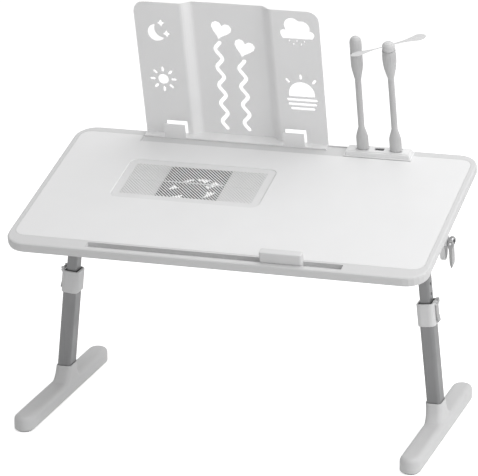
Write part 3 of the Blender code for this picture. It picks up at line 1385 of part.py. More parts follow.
def collar(tube, word, side):
    """The clamping collar: its shell and lugs, the flip lever, the lever's pin and the shoe it presses."""
    profile = (
        (GAP * 2, COLLAR_LOW),
        (0, COLLAR_LOW + GAP * 3),
        (0, COLLAR_HIGH - GAP * 3),
        (GAP * 2, COLLAR_HIGH),
    )
    shell = slab(COLLAR_WIDTH, COLLAR_DEPTH, COLLAR_ROUND, profile, steps=3)
    lug_out = COLLAR_PIN_OUT + COLLAR_LEVER_BARREL * 0.75
    lugs = []
    for end in (-1, 1):
        y = end * (COLLAR_LEVER_WIDTH / 2 + GAP + COLLAR_LUG / 2)
        low = COLLAR_PIN_HEIGHT - COLLAR_LEVER_BARREL * 1.6
        lugs.append(
            box(
                (COLLAR_WIDTH / 2 - OUTER_WALL, y - COLLAR_LUG / 2, low),
                (lug_out, y + COLLAR_LUG / 2, COLLAR_HIGH + COLLAR_LUG_RISE),
            )
        )
    bore = slab(
        OUTER_WIDTH + 2 * GAP,
        OUTER_DEPTH + 2 * GAP,
        OUTER_ROUND,
        ((0, COLLAR_LOW - OVERRUN), (0, COLLAR_HIGH - COLLAR_LIP)),
        steps=3,
    )
    lip = slab(
        INNER_WIDTH + 2 * GAP,
        INNER_DEPTH + 2 * GAP,
        INNER_ROUND,
        ((0, COLLAR_HIGH - COLLAR_LIP - OVERRUN), (0, COLLAR_HIGH + OVERRUN)),
        steps=3,
    )
    window = box(
        (0, -SHOE_WIDTH / 2 - GAP, CLAMP_HEIGHT - SHOE_HEIGHT / 2 - GAP),
        (COLLAR_WIDTH, SHOE_WIDTH / 2 + GAP, CLAMP_HEIGHT + SHOE_HEIGHT / 2 + GAP),
    )
    pin_length = COLLAR_LEVER_WIDTH / 2 + GAP + COLLAR_LUG
    pin_hole = rod_y(COLLAR_PIN_RADIUS + GAP, -COLLAR_DEPTH, COLLAR_DEPTH, 0, 0, SMALL_SIDES)
    shifted(pin_hole, x=COLLAR_PIN_OUT, z=COLLAR_PIN_HEIGHT)
    body = cut(joined(shell, *lugs), bore, lip, window, pin_hole)
    place(f"{word}_collar", body, tube, PLASTIC_WHITE, side)
    hinge = empty(f"{word}_collar_lever_axis", (side * COLLAR_PIN_OUT, 0, COLLAR_PIN_HEIGHT), tube)
    pin = rod_y(COLLAR_PIN_RADIUS, -pin_length, pin_length, 0, 0, SMALL_SIDES)
    place(f"{word}_collar_pin", pin, hinge, STEEL, side)
    face = COLLAR_WIDTH / 2 + GAP - COLLAR_PIN_OUT
    thick = COLLAR_LEVER_THICKNESS
    length = COLLAR_LEVER_LENGTH
    outline = (
        (face, -COLLAR_LEVER_BARREL * 0.4),
        (face, -length * 0.70),
        (face + thick * 0.5, -length * 0.86),
        (face + thick * 0.95, -length * 0.98),
        (face + thick * 1.4, -length),
        (face + thick * 1.8, -length * 0.97),
        (face + thick * 1.45, -length * 0.80),
        (face + thick, -length * 0.62),
        (face + thick, -length * 0.20),
        (COLLAR_LEVER_BARREL * 0.9, -COLLAR_LEVER_BARREL * 0.4),
    )
    arm = plate_y(outline, -COLLAR_LEVER_WIDTH / 2, COLLAR_LEVER_WIDTH / 2)
    barrel = rod_y(COLLAR_LEVER_BARREL, -COLLAR_LEVER_WIDTH / 2, COLLAR_LEVER_WIDTH / 2, 0, 0, SMALL_SIDES)
    hole = rod_y(COLLAR_PIN_RADIUS + GAP, -COLLAR_DEPTH, COLLAR_DEPTH, 0, 0, SMALL_SIDES)
    place(f"{word}_collar_lever", cut(joined(arm, barrel), hole), hinge, PLASTIC_GREY, side)
    shoe = box(
        (INNER_WIDTH / 2 + GAP, -SHOE_WIDTH / 2, CLAMP_HEIGHT - SHOE_HEIGHT / 2),
        (COLLAR_WIDTH / 2, SHOE_WIDTH / 2, CLAMP_HEIGHT + SHOE_HEIGHT / 2),
    )
    place(f"{word}_clamp_shoe", shoe, tube, RUBBER, side)


def foot(floor, word, side):
    """The long foot with its flared socket for the tube, and the rubber pad let into its sole."""
    length = FOOT_FRONT + FOOT_REAR
    centre = (FOOT_REAR - FOOT_FRONT) / 2
    profile = (
        (GAP * 4, PAD_PROUD),
        (0, PAD_PROUD + GAP * 5),
        (0, FOOT_HEIGHT - FOOT_CROWN),
        (FOOT_CROWN * 0.28, FOOT_HEIGHT - FOOT_CROWN * 0.4),
        (FOOT_CROWN, FOOT_HEIGHT),
    )
    bar = slab(FOOT_WIDTH, length, FOOT_WIDTH / 2 - GAP, profile, y=centre, steps=6)
    rings = []
    flare_shares = ((0.0, 1.0), (0.15, 0.62), (0.32, 0.33), (0.52, 0.13), (0.75, 0.03), (1.0, 0.0))
    start = FOOT_HEIGHT - FOOT_CROWN
    for rise_share, flare_share in flare_shares:
        z = start + (SOCKET_HEIGHT - start) * rise_share
        width = min(OUTER_WIDTH + 2 * SOCKET_WALL, FOOT_WIDTH - 2 * GAP)
        depth = OUTER_DEPTH + 2 * SOCKET_WALL + 2 * SOCKET_FLARE * flare_share
        x = -z * math.tan(LEG_SPLAY)
        rings.append([(px, py, z) for px, py in rounded_ring(width, depth, OUTER_ROUND + SOCKET_WALL, x, 0, 3)])
    bore = slab(
        OUTER_WIDTH + 2 * GAP,
        OUTER_DEPTH + 2 * GAP,
        OUTER_ROUND,
        ((0, OUTER_FOOT - GAP), (0, SOCKET_HEIGHT + 4 * OVERRUN)),
        steps=3,
    )
    moved(bore, Matrix.Rotation(-LEG_SPLAY, 4, "Y"))
    pad_length = length - 2 * PAD_MARGIN
    pad_width = FOOT_WIDTH - 2 * PAD_MARGIN
    recess = slab(
        pad_width + 2 * GAP,
        pad_length + 2 * GAP,
        pad_width / 2,
        ((0, -OVERRUN), (0, PAD_THICKNESS + GAP)),
        y=centre,
    )
    place(f"{word}_foot", cut(joined(bar, loft(rings)), bore, recess), floor, PLASTIC_RIM, side)
    pad = slab(pad_width, pad_length, pad_width / 2 - GAP, ((0, 0), (0, PAD_THICKNESS)), y=centre)
    place(f"{word}_foot_pad", pad, floor, RUBBER, side)


def build():
    """Every piece of the table."""
    clear_scene()
    table = empty("table_axes", (0, TOP_PLACE, TOP_HEIGHT), None, (TOP_TILT, 0, 0))
    top_frame(table)
    desk_panel(table)
    underside_cover(table)
    vent_grille(table)
    cooling_fan_housing(table)
    cooling_fan_guard(table)
    cooling_impeller(empty("cooling_fan_axis", (VENT_X, VENT_Y, 0), table))
    usb_hub(table)
    book_stop(table)
    bookstand(table)
    lamp_stick(table)
    fan_stick(table)
    for word, side in (("left", -1), ("right", 1)):
        fold = folding_bracket(table, word, side)
        yoke(fold, word, side)
        tilt_bolt_and_lever(fold, word, side)
        floor, tube = leg_axes(word, side)
        tilt_head(floor, word, side)
        leg_tubes(tube, word, side)
        collar(tube, word, side)
        foot(floor, word, side)


build()
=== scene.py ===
"""The laptop bed table in its own finishes, with the trim that the solids leave out, in a plain studio."""

import math

import bmesh
import bpy
from mathutils import Matrix, Vector


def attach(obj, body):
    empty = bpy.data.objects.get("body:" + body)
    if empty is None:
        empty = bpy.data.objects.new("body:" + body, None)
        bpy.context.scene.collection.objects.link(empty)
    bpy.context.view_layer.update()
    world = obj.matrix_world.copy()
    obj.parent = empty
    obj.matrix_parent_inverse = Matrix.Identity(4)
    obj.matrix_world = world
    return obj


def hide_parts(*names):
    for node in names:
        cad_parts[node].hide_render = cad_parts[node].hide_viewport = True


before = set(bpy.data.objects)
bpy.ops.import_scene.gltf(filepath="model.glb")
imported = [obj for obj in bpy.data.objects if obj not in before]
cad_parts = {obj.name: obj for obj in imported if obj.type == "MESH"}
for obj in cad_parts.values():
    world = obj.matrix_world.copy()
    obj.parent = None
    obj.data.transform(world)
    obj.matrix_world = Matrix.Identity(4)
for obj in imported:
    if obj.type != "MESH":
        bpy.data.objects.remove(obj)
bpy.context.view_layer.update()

# Sizes are in metres. The top has its own axes: u to the right, v to the rear, w out of the desk.
TILT = math.radians(14.86)
TOP_PLACE = (0, -0.0045, 0.3211)
TOP = Matrix.Translation(TOP_PLACE) @ Matrix.Rotation(TILT, 4, "X")

# Each leg leans inwards on its way up from its foot.
SIDES = (("left", -1), ("right", 1))
LEG_LEAN = math.radians(5.69)
LEG_X = 0.2796
LEG_Y = 0.0090
TILT_PIN_X = 0.2944
TILT_PIN_HEIGHT = 0.2810


# Shader helpers

# A Mix node's sockets for colours go by number, because its other kinds share their names.
MIX_FACTOR, MIX_FIRST, MIX_SECOND, MIX_COLOUR = 0, 6, 7, 2
NOISE_LOW, NOISE_HIGH = 0.3, 0.7


def material(name):
    """A new material and its Principled shader."""
    made = bpy.data.materials.new(name)
    made.use_nodes = True
    return made, made.node_tree.nodes["Principled BSDF"]


def node(made, kind, **values):
    """One shader node with its input values."""
    new = made.node_tree.nodes.new(kind)
    for key, value in values.items():
        new.inputs[key.replace("_", " ")].default_value = value
    return new


def wire(made, start, end):
    """A link between two sockets."""
    made.node_tree.links.new(start, end)


def worked_out(made, operation, first, second):
    """A Math node's result from a linked value and a second one, linked or plain."""
    maths = node(made, "ShaderNodeMath")
    maths.operation = operation
    wire(made, first, maths.inputs[0])
    if isinstance(second, float):
        maths.inputs[1].default_value = second
    else:
        wire(made, second, maths.inputs[1])
    return maths.outputs[0]


def background_ray(made):
    """1 for a ray that shows the background: to the camera, off gloss or through glass."""
    rays = node(made, "ShaderNodeLightPath").outputs
    seen = worked_out(made, "MAXIMUM", rays["Is Glossy Ray"], rays["Is Transmission Ray"])
    return worked_out(made, "MAXIMUM", seen, rays["Is Camera Ray"])


def noise(made, scale, detail, stretch=(1, 1, 1), turn=(0, 0, 0)):
    """Noise on the object's own coordinates, turned and stretched to follow a surface."""
    place = node(made, "ShaderNodeTexCoord")
    mapping = node(made, "ShaderNodeMapping", Rotation=turn, Scale=stretch)
    grain = node(made, "ShaderNodeTexNoise", Scale=scale, Detail=detail)
    wire(made, place.outputs["Object"], mapping.inputs["Vector"])
    wire(made, mapping.outputs["Vector"], grain.inputs["Vector"])
    return grain.outputs["Fac"]


def spread(made, value, low, high):
    """A noise value brought between two limits."""
    mapped = node(made, "ShaderNodeMapRange", From_Min=NOISE_LOW, From_Max=NOISE_HIGH,
                  To_Min=low, To_Max=high)
    wire(made, value, mapped.inputs["Value"])
    return mapped.outputs["Result"]


def tinted(made, shader, colour, change, value):
    """The base colour, a little lighter and darker by a noise value."""
    mix = made.node_tree.nodes.new("ShaderNodeMix")
    mix.data_type = "RGBA"
    mix.inputs[MIX_FIRST].default_value = (*[part * (1 - change) for part in colour], 1)
    mix.inputs[MIX_SECOND].default_value = (*[min(1, part * (1 + change)) for part in colour], 1)
    wire(made, spread(made, value, 0, 1), mix.inputs[MIX_FACTOR])
    wire(made, mix.outputs[MIX_COLOUR], shader.inputs["Base Color"])


def bumped(made, shader, height, strength, distance):
    """Fine relief on the shader's surface from a noise value."""
    bump = node(made, "ShaderNodeBump", Strength=strength, Distance=distance)
    wire(made, height, bump.inputs["Height"])
    wire(made, bump.outputs["Normal"], shader.inputs["Normal"])


# Finishes

PLASTIC_IOR = 1.47


def plastic(name, colour, roughness=0.5, grain=900, depth=0.00003, change=0.02, coat=0.0, soft=0.0):
    """Moulded plastic: a fine spark-eroded grain over a faint unevenness of tone."""
    made, shader = material(name)
    fine = noise(made, scale=grain, detail=4.0)
    broad = noise(made, scale=16, detail=2.0)
    tinted(made, shader, colour, change, broad)
    wire(made, spread(made, fine, roughness - 0.05, roughness + 0.06), shader.inputs["Roughness"])
    bumped(made, shader, fine, strength=0.45, distance=depth)
    shader.inputs["IOR"].default_value = PLASTIC_IOR
    shader.inputs["Coat Weight"].default_value = coat
    shader.inputs["Coat Roughness"].default_value = 0.3
    shader.inputs["Sheen Weight"].default_value = soft
    shader.inputs["Sheen Roughness"].default_value = 0.5
    return made


def brushed(name, colour, roughness, metal, stretch, turn=(0, 0, 0)):
    """Metal drawn or brushed along one way, so its grain is long and narrow."""
    made, shader = material(name)
    fine = noise(made, scale=1, detail=5.0, stretch=stretch, turn=turn)
    broad = noise(made, scale=30, detail=2.0)
    tinted(made, shader, colour, 0.05, fine)
    wire(made, spread(made, broad, roughness - 0.05, roughness + 0.07), shader.inputs["Roughness"])
    bumped(made, shader, fine, strength=0.25, distance=0.00003)
    shader.inputs["Metallic"].default_value = metal
    shader.inputs["Anisotropic"].default_value = 0.4
    return made


def tube_metal(name, side):
    """The tubes' drawn metal, with its grain along the lean of one leg."""
    return brushed(name, (0.215, 0.216, 0.219), roughness=0.42, metal=0.55,
                   stretch=(1500, 1500, 14), turn=(0, side * LEG_LEAN, 0))


RIM = plastic("rim plastic", (0.68, 0.68, 0.682), 0.46, change=0.012)
DESK = plastic("desk laminate", (0.83, 0.83, 0.833), 0.42, grain=420, depth=0.000015,
               change=0.008, coat=0.08)
WHITE = plastic("white plastic", (0.72, 0.72, 0.723), 0.48)
HUB = plastic("hub plastic", (0.82, 0.82, 0.822), 0.48)
# The stand's white is lighter than the other white plastics. This is painted light, for light through its
# thin sheet and from the front.
STAND_PAINTED_LIGHT = plastic("stand plastic with painted light", (0.90, 0.90, 0.902), 0.44, grain=700, change=0.012)
FOOT = plastic("foot plastic", (0.66, 0.66, 0.662))
GRILLE = plastic("grille plastic", (0.77, 0.77, 0.772))
GREY = plastic("lever plastic", (0.42, 0.42, 0.422), 0.46, grain=1100)
# The fan's own dark plastic, and also painted shade on the tilt levers' recess blocks.
DARK = plastic("fan plastic and painted shade", (0.045, 0.046, 0.048))
INNER = plastic("socket tongue plastic", (0.30, 0.30, 0.303), 0.55)
COVER = plastic("lamp cover plastic", (0.57, 0.57, 0.572), 0.34, grain=300, depth=0.00001, coat=0.2)
SOFT = plastic("stick silicone", (0.57, 0.57, 0.572), 0.62, grain=1400, depth=0.00004,
               change=0.03, soft=0.15)
BLADE = plastic("propeller silicone", (0.62, 0.62, 0.622), grain=1400, soft=0.1)
PAD = plastic("foot rubber", (0.05, 0.05, 0.05), 0.85, grain=1500, depth=0.00006)
BOARD = plastic("circuit board lacquer", (0.02, 0.14, 0.07), 0.35, coat=0.5)
STEEL = brushed("plated steel", (0.60, 0.60, 0.61), roughness=0.30, metal=1.0, stretch=(900, 900, 90))
LEFT_TUBE = tube_metal("left tube metal", -1)
RIGHT_TUBE = tube_metal("right tube metal", 1)

FINISHES = {
    RIM: ["top_frame"],
    DESK: ["desk_panel"],
    STAND_PAINTED_LIGHT: ["bookstand"],
    FOOT: ["left_foot", "right_foot"],
    GRILLE: ["vent_grille"],
    WHITE: ["underside_cover", "book_stop"],
    HUB: ["hub_housing"],
    GREY: ["book_stop_clip"],
    DARK: ["cooling_fan_housing", "cooling_impeller"],
    STEEL: ["cooling_fan_guard", "usb_port_left", "usb_port_middle", "usb_port_right",
            "power_inlet", "lamp_plug", "fan_plug", "fan_motor"],
    BOARD: ["hub_board"],
    COVER: ["lamp_cover"],
    SOFT: ["lamp_stick", "fan_stick"],
    BLADE: ["propeller"],
    PAD: [],
    LEFT_TUBE: ["left_inner_tube", "left_outer_tube"],
    RIGHT_TUBE: ["right_inner_tube", "right_outer_tube"],
}
LEG_FINISHES = {
    WHITE: ("yoke", "leg_head", "collar"),
    GREY: ("tilt_lever", "tilt_disc", "collar_lever"),
    STEEL: ("bracket_base", "fold_pin", "front_screw", "rear_screw", "tilt_bolt", "lever_pin", "collar_pin"),
    PAD: ("foot_pad", "clamp_shoe"),
}
for word in ("left", "right"):
    for finish, pieces in LEG_FINISHES.items():
        FINISHES[finish] += [f"{word}_{piece}" for piece in pieces]
for finish, names in FINISHES.items():
    for name in names:
        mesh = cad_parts[name].data
        mesh.materials.clear()
        mesh.materials.append(finish)


# Modelling by hand

MERGE_DISTANCE = 0.00002
SHARP_ANGLE = math.radians(35)
UPRIGHT_RISE = 0.0001
LEVEL_SLACK = 0.00001
CUT_HEIGHT = 0.0060


def deselect():
    """Nothing stays selected."""
    if bpy.context.object and bpy.context.object.mode != "OBJECT":
        bpy.ops.object.mode_set(mode="OBJECT")
    bpy.ops.object.select_all(action="DESELECT")


def picked(made):
    """Selects one piece alone and makes it the active one."""
    deselect()
    bpy.context.view_layer.objects.active = made
    made.select_set(True)


def named(name):
    """The new primitive under its own name."""
    made = bpy.context.object
    made.name = name
    made.data.name = name
    return made


def copied(model, name):
    """A copy of a model with its own mesh."""
    made = model.copy()
    made.data = model.data.copy()
    made.name = name
    made.data.name = name
    bpy.context.scene.collection.objects.link(made)
    return made


def settle(made, place=Matrix.Identity(4)):
    """Puts a finished piece's place into its mesh, with its faces outwards."""
    deselect()
    made.matrix_world = place @ made.matrix_world
    picked(made)
    bpy.ops.object.transform_apply(location=True, rotation=True, scale=True)
    bpy.ops.object.mode_set(mode="EDIT")
    bpy.ops.mesh.select_all(action="SELECT")
    bpy.ops.mesh.normals_make_consistent(inside=False)
    bpy.ops.object.mode_set(mode="OBJECT")
    bpy.ops.object.shade_smooth_by_angle(angle=SHARP_ANGLE)
    made.select_set(False)


def modified(made, kind, **values):
    """A modifier added and applied at once."""
    picked(made)
    modifier = made.modifiers.new(kind.title(), kind)
    for key, value in values.items():
        setattr(modifier, key, value)
    bpy.ops.object.modifier_apply(modifier=modifier.name)
    made.select_set(False)


def dressed(made, body, finish):
    """Gives a piece its finish and the body that it rides on."""
    made.data.materials.clear()
    made.data.materials.append(finish)
    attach(made, body)


def block(name, size, place=(0, 0, 0)):
    """A cube primitive at its size and place."""
    deselect()
    bpy.ops.mesh.primitive_cube_add(size=1, location=place)
    made = named(name)
    made.scale = size
    bpy.ops.object.transform_apply(location=True, rotation=False, scale=True)
    return made


def bevelled(made, chosen, width, segments):
    """Bevels the edges of a piece in edit mode for which a test holds."""
    shape = bmesh.from_edit_mesh(made.data)
    for edge in shape.edges:
        edge.select_set(chosen(edge))
    bmesh.update_edit_mesh(made.data)
    bpy.ops.mesh.bevel(offset=width, segments=segments, affect="EDGES")


def corners_rounded(made, radius, rim):
    """Rounds a block's upright corners and then its upper rim."""
    def is_corner(edge):
        return abs(edge.verts[0].co.z - edge.verts[1].co.z) > UPRIGHT_RISE

    def is_rim(edge):
        return all(abs(point.co.z - high) < LEVEL_SLACK for point in edge.verts)

    picked(made)
    bpy.ops.object.mode_set(mode="EDIT")
    bevelled(made, is_corner, radius, segments=5)
    high = max(point.co.z for point in bmesh.from_edit_mesh(made.data).verts)
    bevelled(made, is_rim, rim, segments=3)
    bpy.ops.object.mode_set(mode="OBJECT")


def carved(made, cutter):
    """Takes a cutter out of a piece."""
    modified(made, "BOOLEAN", object=cutter, operation="DIFFERENCE", solver="EXACT")
    bpy.data.objects.remove(cutter)


def merged_copy(source, name):
    """A copy of a CAD node under its own name, with its loose triangles merged."""
    made = bpy.data.objects.new(name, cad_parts[source].data.copy())
    bpy.context.scene.collection.objects.link(made)
    modified(made, "WELD", merge_threshold=MERGE_DISTANCE)
    return made


# Moulded pieces with their edges rounded over, as the tool leaves them

def softened(source, finish, body, voxel, rounds):
    """A close copy of a moulded piece whose edges and inner corners are rounded over."""
    made = merged_copy(source, source + "_shell")
    modified(made, "REMESH", mode="VOXEL", voxel_size=voxel)
    modified(made, "SMOOTH", factor=0.5, iterations=rounds)
    settle(made)
    dressed(made, body, finish)
    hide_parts(source)


for word in ("left", "right"):
    lower_leg = f"{word}_lower_leg"
    softened(f"{word}_foot", FOOT, lower_leg, voxel=0.0014, rounds=14)
    softened(f"{word}_collar", WHITE, lower_leg, voxel=0.0005, rounds=5)
    softened(f"{word}_collar_lever", GREY, f"{word}_clamp_handle", voxel=0.0004, rounds=3)
    softened(f"{word}_tilt_lever", GREY, f"{word}_tilt_handle", voxel=0.0004, rounds=4)
softened("book_stop", WHITE, "stop", voxel=0.0005, rounds=5)


# Hub: the flange round its foot, the raised insert round its sockets, and the free socket's tongue

HUB_U, HUB_V, HUB_TOP = 0.15575, 0.1493, 0.0060
HUB_LENGTH, HUB_DEPTH = 0.0949, 0.0234
FLANGE_SIZE = (0.0990, 0.0262, 0.0011)
FLANGE_V = HUB_V - 0.0009
FLANGE_W = 0.0008
FLANGE_CUT_W = 0.0010
INSERT_SIZE = (0.0880, 0.0165, 0.0008)
INSERT_V = 0.1497
INSERT_W = HUB_TOP + 0.0005
PORT_U, PORT_V, PORT_PITCH = 0.1563, 0.1503, 0.02415
PORT_HOLE = (0.0140, 0.0068, CUT_HEIGHT)
STICK_HOLE = (0.0186, 0.0117, CUT_HEIGHT)
TONGUE_SIZE = (0.0108, 0.0018, 0.0088)
TONGUE_V = 0.1518
TONGUE_W = HUB_TOP - 0.0065

flange = block("hub_flange", FLANGE_SIZE, (HUB_U, FLANGE_V, FLANGE_W))
corners_rounded(flange, radius=0.0030, rim=0.0005)
carved(flange, block("flange_cutter", (HUB_LENGTH, HUB_DEPTH, CUT_HEIGHT), (HUB_U, HUB_V, FLANGE_CUT_W)))
settle(flange, TOP)
dressed(flange, "top", HUB)

insert = block("hub_insert", INSERT_SIZE, (HUB_U, INSERT_V, INSERT_W))
corners_rounded(insert, radius=0.0025, rim=0.0004)
for number, hole in ((-1, STICK_HOLE), (0, PORT_HOLE), (1, STICK_HOLE)):
    carved(insert, block("insert_cutter", hole, (PORT_U + number * PORT_PITCH, PORT_V, HUB_TOP)))
settle(insert, TOP)
dressed(insert, "top", HUB)

tongue = block("usb_tongue", TONGUE_SIZE, (PORT_U, TONGUE_V, TONGUE_W))
corners_rounded(tongue, radius=0.0004, rim=0.0003)
settle(tongue, TOP)
dressed(tongue, "top", INNER)


# Vent: the thin louvred plate, and the light floor under its two ends, beside the fan's mouth

GRILLE_BACK = -0.0018
LOUVRE_BACK = -0.0016
VENT_V = 0.0312
VENT_FLOOR_W = -0.0023
VENT_FLOOR_SIZE = (0.0620, 0.0990, 0.0010)

louvres = merged_copy("vent_grille", "vent_louvres")
louvres.select_set(True)
bpy.ops.mesh.customdata_custom_splitnormals_clear()
flat = TOP.inverted()
for point in louvres.data.vertices:
    place = flat @ point.co
    if place.z < GRILLE_BACK:
        place.z = LOUVRE_BACK
    point.co = TOP @ place
settle(louvres)
dressed(louvres, "top", GRILLE)
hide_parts("vent_grille")

for word, u in (("left", -0.1602), ("right", -0.0068)):
    shelf = block(f"vent_floor_{word}", VENT_FLOOR_SIZE, (u, VENT_V, VENT_FLOOR_W))
    corners_rounded(shelf, radius=0.0080, rim=0.0002)
    settle(shelf, TOP)
    dressed(shelf, "top", HUB)


# Fan and lamp heads: fine ribs down the fan's body, and the band at the top of each body

RIB_RADIUS = 0.0007


def head_frame(place, axis):
    """The frame of a stick's head, with its axis as z."""
    turn = Vector((0, 0, 1)).rotation_difference(Vector(axis)).to_matrix().to_4x4()
    return Matrix.Translation(place) @ turn


FAN_HEAD = head_frame(place=(0.182033, 0.088348, 0.524308), axis=(0.0177, -0.34649, 0.93789))
LAMP_HEAD = head_frame(place=(0.128977, 0.111888, 0.511517), axis=(-0.04128, -0.11488, 0.99252))


def ribs(name, body, place, radius, count, low, high):
    """Slim raised ribs round a head, modelled once and copied round its axis."""
    deselect()
    bpy.ops.mesh.primitive_uv_sphere_add(segments=8, ring_count=10, radius=RIB_RADIUS)
    first = named(name)
    first.scale = (1, 1, (high - low) / (2 * RIB_RADIUS))
    pieces = [first] + [copied(first, f"{name}_{number}") for number in range(1, count)]
    deselect()
    for number, rib in enumerate(pieces):
        angle = 2 * math.pi * number / count
        rib.location = (radius * math.cos(angle), radius * math.sin(angle), (low + high) / 2)
        rib.select_set(True)
    bpy.context.view_layer.objects.active = first
    bpy.ops.object.join()
    settle(first, place)
    dressed(first, body, SOFT)


def ring(name, body, place, radius, thickness, height):
    """A fine ring round a head."""
    deselect()
    bpy.ops.mesh.primitive_torus_add(major_segments=48, minor_segments=10, major_radius=radius,
                                     minor_radius=thickness, location=(0, 0, height))
    made = named(name)
    settle(made, place)
    dressed(made, body, SOFT)


ribs("fan_head_ribs", "fan", FAN_HEAD, radius=0.0091, count=18, low=-0.0230, high=-0.0035)
ring("fan_head_band", "fan", FAN_HEAD, radius=0.0093, thickness=0.0004, height=-0.0022)
ring("lamp_head_band", "lamp", LAMP_HEAD, radius=0.0085, thickness=0.0003, height=-0.0010)


# Leg: a dark wiper in each collar's mouth, round the inner tube

COLLAR_MOUTH = 0.1918
WIPER_SIZE = (0.0192, 0.0268, 0.0012)
INNER_TUBE_HOLE = (0.0153, 0.0229, CUT_HEIGHT)

wiper_model = block("collar_wiper", WIPER_SIZE)
corners_rounded(wiper_model, radius=0.0040, rim=0.0003)
carved(wiper_model, block("wiper_cutter", INNER_TUBE_HOLE))
for word, side in SIDES:
    leg = Matrix.Translation((side * LEG_X, LEG_Y, 0)) @ Matrix.Rotation(-side * LEG_LEAN, 4, "Y")
    wiper = copied(wiper_model, f"{word}_collar_wiper")
    settle(wiper, leg @ Matrix.Translation((0, 0, COLLAR_MOUTH)))
    dressed(wiper, f"{word}_lower_leg", PAD)
bpy.data.objects.remove(wiper_model)


# Tilt lever: painted shade, a thin dark block on the outer face of its head where the recess over the cam
# lies in shadow

# The block's dark finish is painted shade for the recess. It is not a part of the lever.
SHADE_PATCH_SIZE = (0.0007, 0.0054, 0.0054)
SHADE_PATCH_OUT = 0.00435
SHADE_PATCH_UP = 0.0004

shade_patch_model = block("cam_recess_painted_shade", SHADE_PATCH_SIZE)
corners_rounded(shade_patch_model, radius=0.0005, rim=0.0002)
for word, side in SIDES:
    pin = Matrix.Translation((side * TILT_PIN_X, LEG_Y, TILT_PIN_HEIGHT)) @ Matrix.Rotation(TILT, 4, "X")
    shade_patch = copied(shade_patch_model, f"{word}_cam_recess_painted_shade")
    settle(shade_patch, pin @ Matrix.Translation((side * SHADE_PATCH_OUT, 0, SHADE_PATCH_UP)))
    dressed(shade_patch, f"{word}_tilt_handle", DARK)
bpy.data.objects.remove(shade_patch_model)


# Underside: the screws that hold the cover, at its corners and round its middle

SCREW_RADIUS = 0.0031
SCREW_HEIGHT = 0.0012
SCREW_W = -0.0146
CROSS_LENGTH, CROSS_WIDTH, CROSS_W = 0.0036, 0.0008, -0.0154
SCREW_PLACES = ((-0.27, -0.14), (-0.27, 0.14), (0.27, -0.14), (0.27, 0.14),
                (-0.09, -0.125), (0.09, -0.125), (-0.09, 0.125), (0.09, 0.125))

deselect()
bpy.ops.mesh.primitive_cylinder_add(vertices=32, radius=SCREW_RADIUS, depth=SCREW_HEIGHT,
                                    location=(0, 0, SCREW_W))
screw_model = named("cover_screw")
modified(screw_model, "BEVEL", width=0.0004, segments=3)
for length, width in ((CROSS_LENGTH, CROSS_WIDTH), (CROSS_WIDTH, CROSS_LENGTH)):
    carved(screw_model, block("cross_cutter", (length, width, SCREW_HEIGHT), (0, 0, CROSS_W)))
for number, (u, v) in enumerate(SCREW_PLACES):
    screw = copied(screw_model, f"cover_screw_{number}")
    settle(screw, TOP @ Matrix.Translation((u, v, 0)))
    dressed(screw, "top", STEEL)
bpy.data.objects.remove(screw_model)


# Floor: pale, white to the camera, and clear when it is seen from below

FLOOR_SPAN = 30
FLOOR_DROP = 0.0002
FLOOR_LIFT = 0.70

deselect()
bpy.ops.mesh.primitive_plane_add(size=FLOOR_SPAN, location=(0, 0, -FLOOR_DROP))
floor = named("studio_floor")
ground, ground_shader = material("studio floor")
ground_shader.inputs["Base Color"].default_value = (0.80, 0.80, 0.80, 1)
ground_shader.inputs["Roughness"].default_value = 0.9
ground_shader.inputs["Specular IOR Level"].default_value = 0.0
ground_shader.inputs["Emission Color"].default_value = (1, 1, 1, 1)
lift = worked_out(ground, "MULTIPLY", background_ray(ground), FLOOR_LIFT)
wire(ground, lift, ground_shader.inputs["Emission Strength"])
below = node(ground, "ShaderNodeNewGeometry")
clear = node(ground, "ShaderNodeBsdfTransparent")
both = node(ground, "ShaderNodeMixShader")
wire(ground, below.outputs["Backfacing"], both.inputs["Fac"])
wire(ground, ground_shader.outputs["BSDF"], both.inputs[1])
wire(ground, clear.outputs["BSDF"], both.inputs[2])
wire(ground, both.outputs["Shader"], ground.node_tree.nodes["Material Output"].inputs["Surface"])
floor.data.materials.append(ground)


# World: white to the camera, and a plain grey light on the object

WORLD_LIGHT = 0.39

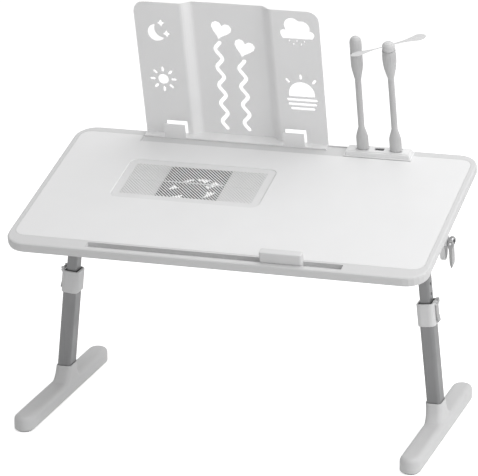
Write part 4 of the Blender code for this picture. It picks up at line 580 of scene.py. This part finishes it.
world = bpy.data.worlds.new("studio")
bpy.context.scene.world = world
world.use_nodes = True
surround = world.node_tree.nodes["Background"]
surround.inputs["Color"].default_value = (1, 1, 1, 1)
strength = node(world, "ShaderNodeMapRange", To_Min=WORLD_LIGHT, To_Max=1.0)
wire(world, background_ray(world), strength.inputs["Value"])
wire(world, strength.outputs["Result"], surround.inputs["Strength"])


# Lamps

def softbox(name, place, target, width, height, power):
    """A soft area light aimed at a point."""
    light = bpy.data.lights.new(name, "AREA")
    light.shape = "RECTANGLE"
    light.size = width
    light.size_y = height
    light.energy = power
    lamp = bpy.data.objects.new(name, light)
    bpy.context.scene.collection.objects.link(lamp)
    lamp.location = place
    lamp.rotation_euler = (Vector(target) - Vector(place)).to_track_quat("-Z", "Y").to_euler()


softbox("top_softbox", (0.5, 0.3, 2.2), target=(0, 0, 0.3), width=2.4, height=2.0, power=26)
softbox("right_softbox", (2.4, -0.8, 1.2), target=(0, 0, 0.3), width=1.6, height=1.6, power=21)
softbox("front_softbox", (1.3, -2.8, 1.2), target=(0, 0, 0.4), width=2.2, height=1.6, power=9)


# Camera, at the photograph's viewing angle

YAW, PITCH, ROLL = math.radians(17.92), math.radians(17.18), math.radians(-0.43)
CAMERA_PLACE = (1.2090, -3.7651, 1.4852)
PHOTO_WIDTH = 478
FOCAL_PIXELS = 2961.5
SENSOR_WIDTH = 36

sight = Vector((-math.sin(YAW) * math.cos(PITCH), math.cos(YAW) * math.cos(PITCH), -math.sin(PITCH)))
level = Vector((math.cos(YAW), math.sin(YAW), 0))
upright = level.cross(sight)
across = level * math.cos(ROLL) + upright * math.sin(ROLL)
upwards = upright * math.cos(ROLL) - level * math.sin(ROLL)
eye = bpy.data.cameras.new("camera")
eye.sensor_fit = "HORIZONTAL"
eye.sensor_width = SENSOR_WIDTH
eye.lens = FOCAL_PIXELS * SENSOR_WIDTH / PHOTO_WIDTH
eye.clip_end = 100
camera = bpy.data.objects.new("camera", eye)
bpy.context.scene.collection.objects.link(camera)
facing = Matrix((across, upwards, -sight)).transposed().to_4x4()
camera.matrix_world = Matrix.Translation(CAMERA_PLACE) @ facing
bpy.context.scene.camera = camera
bpy.context.scene.view_settings.view_transform = "Standard"
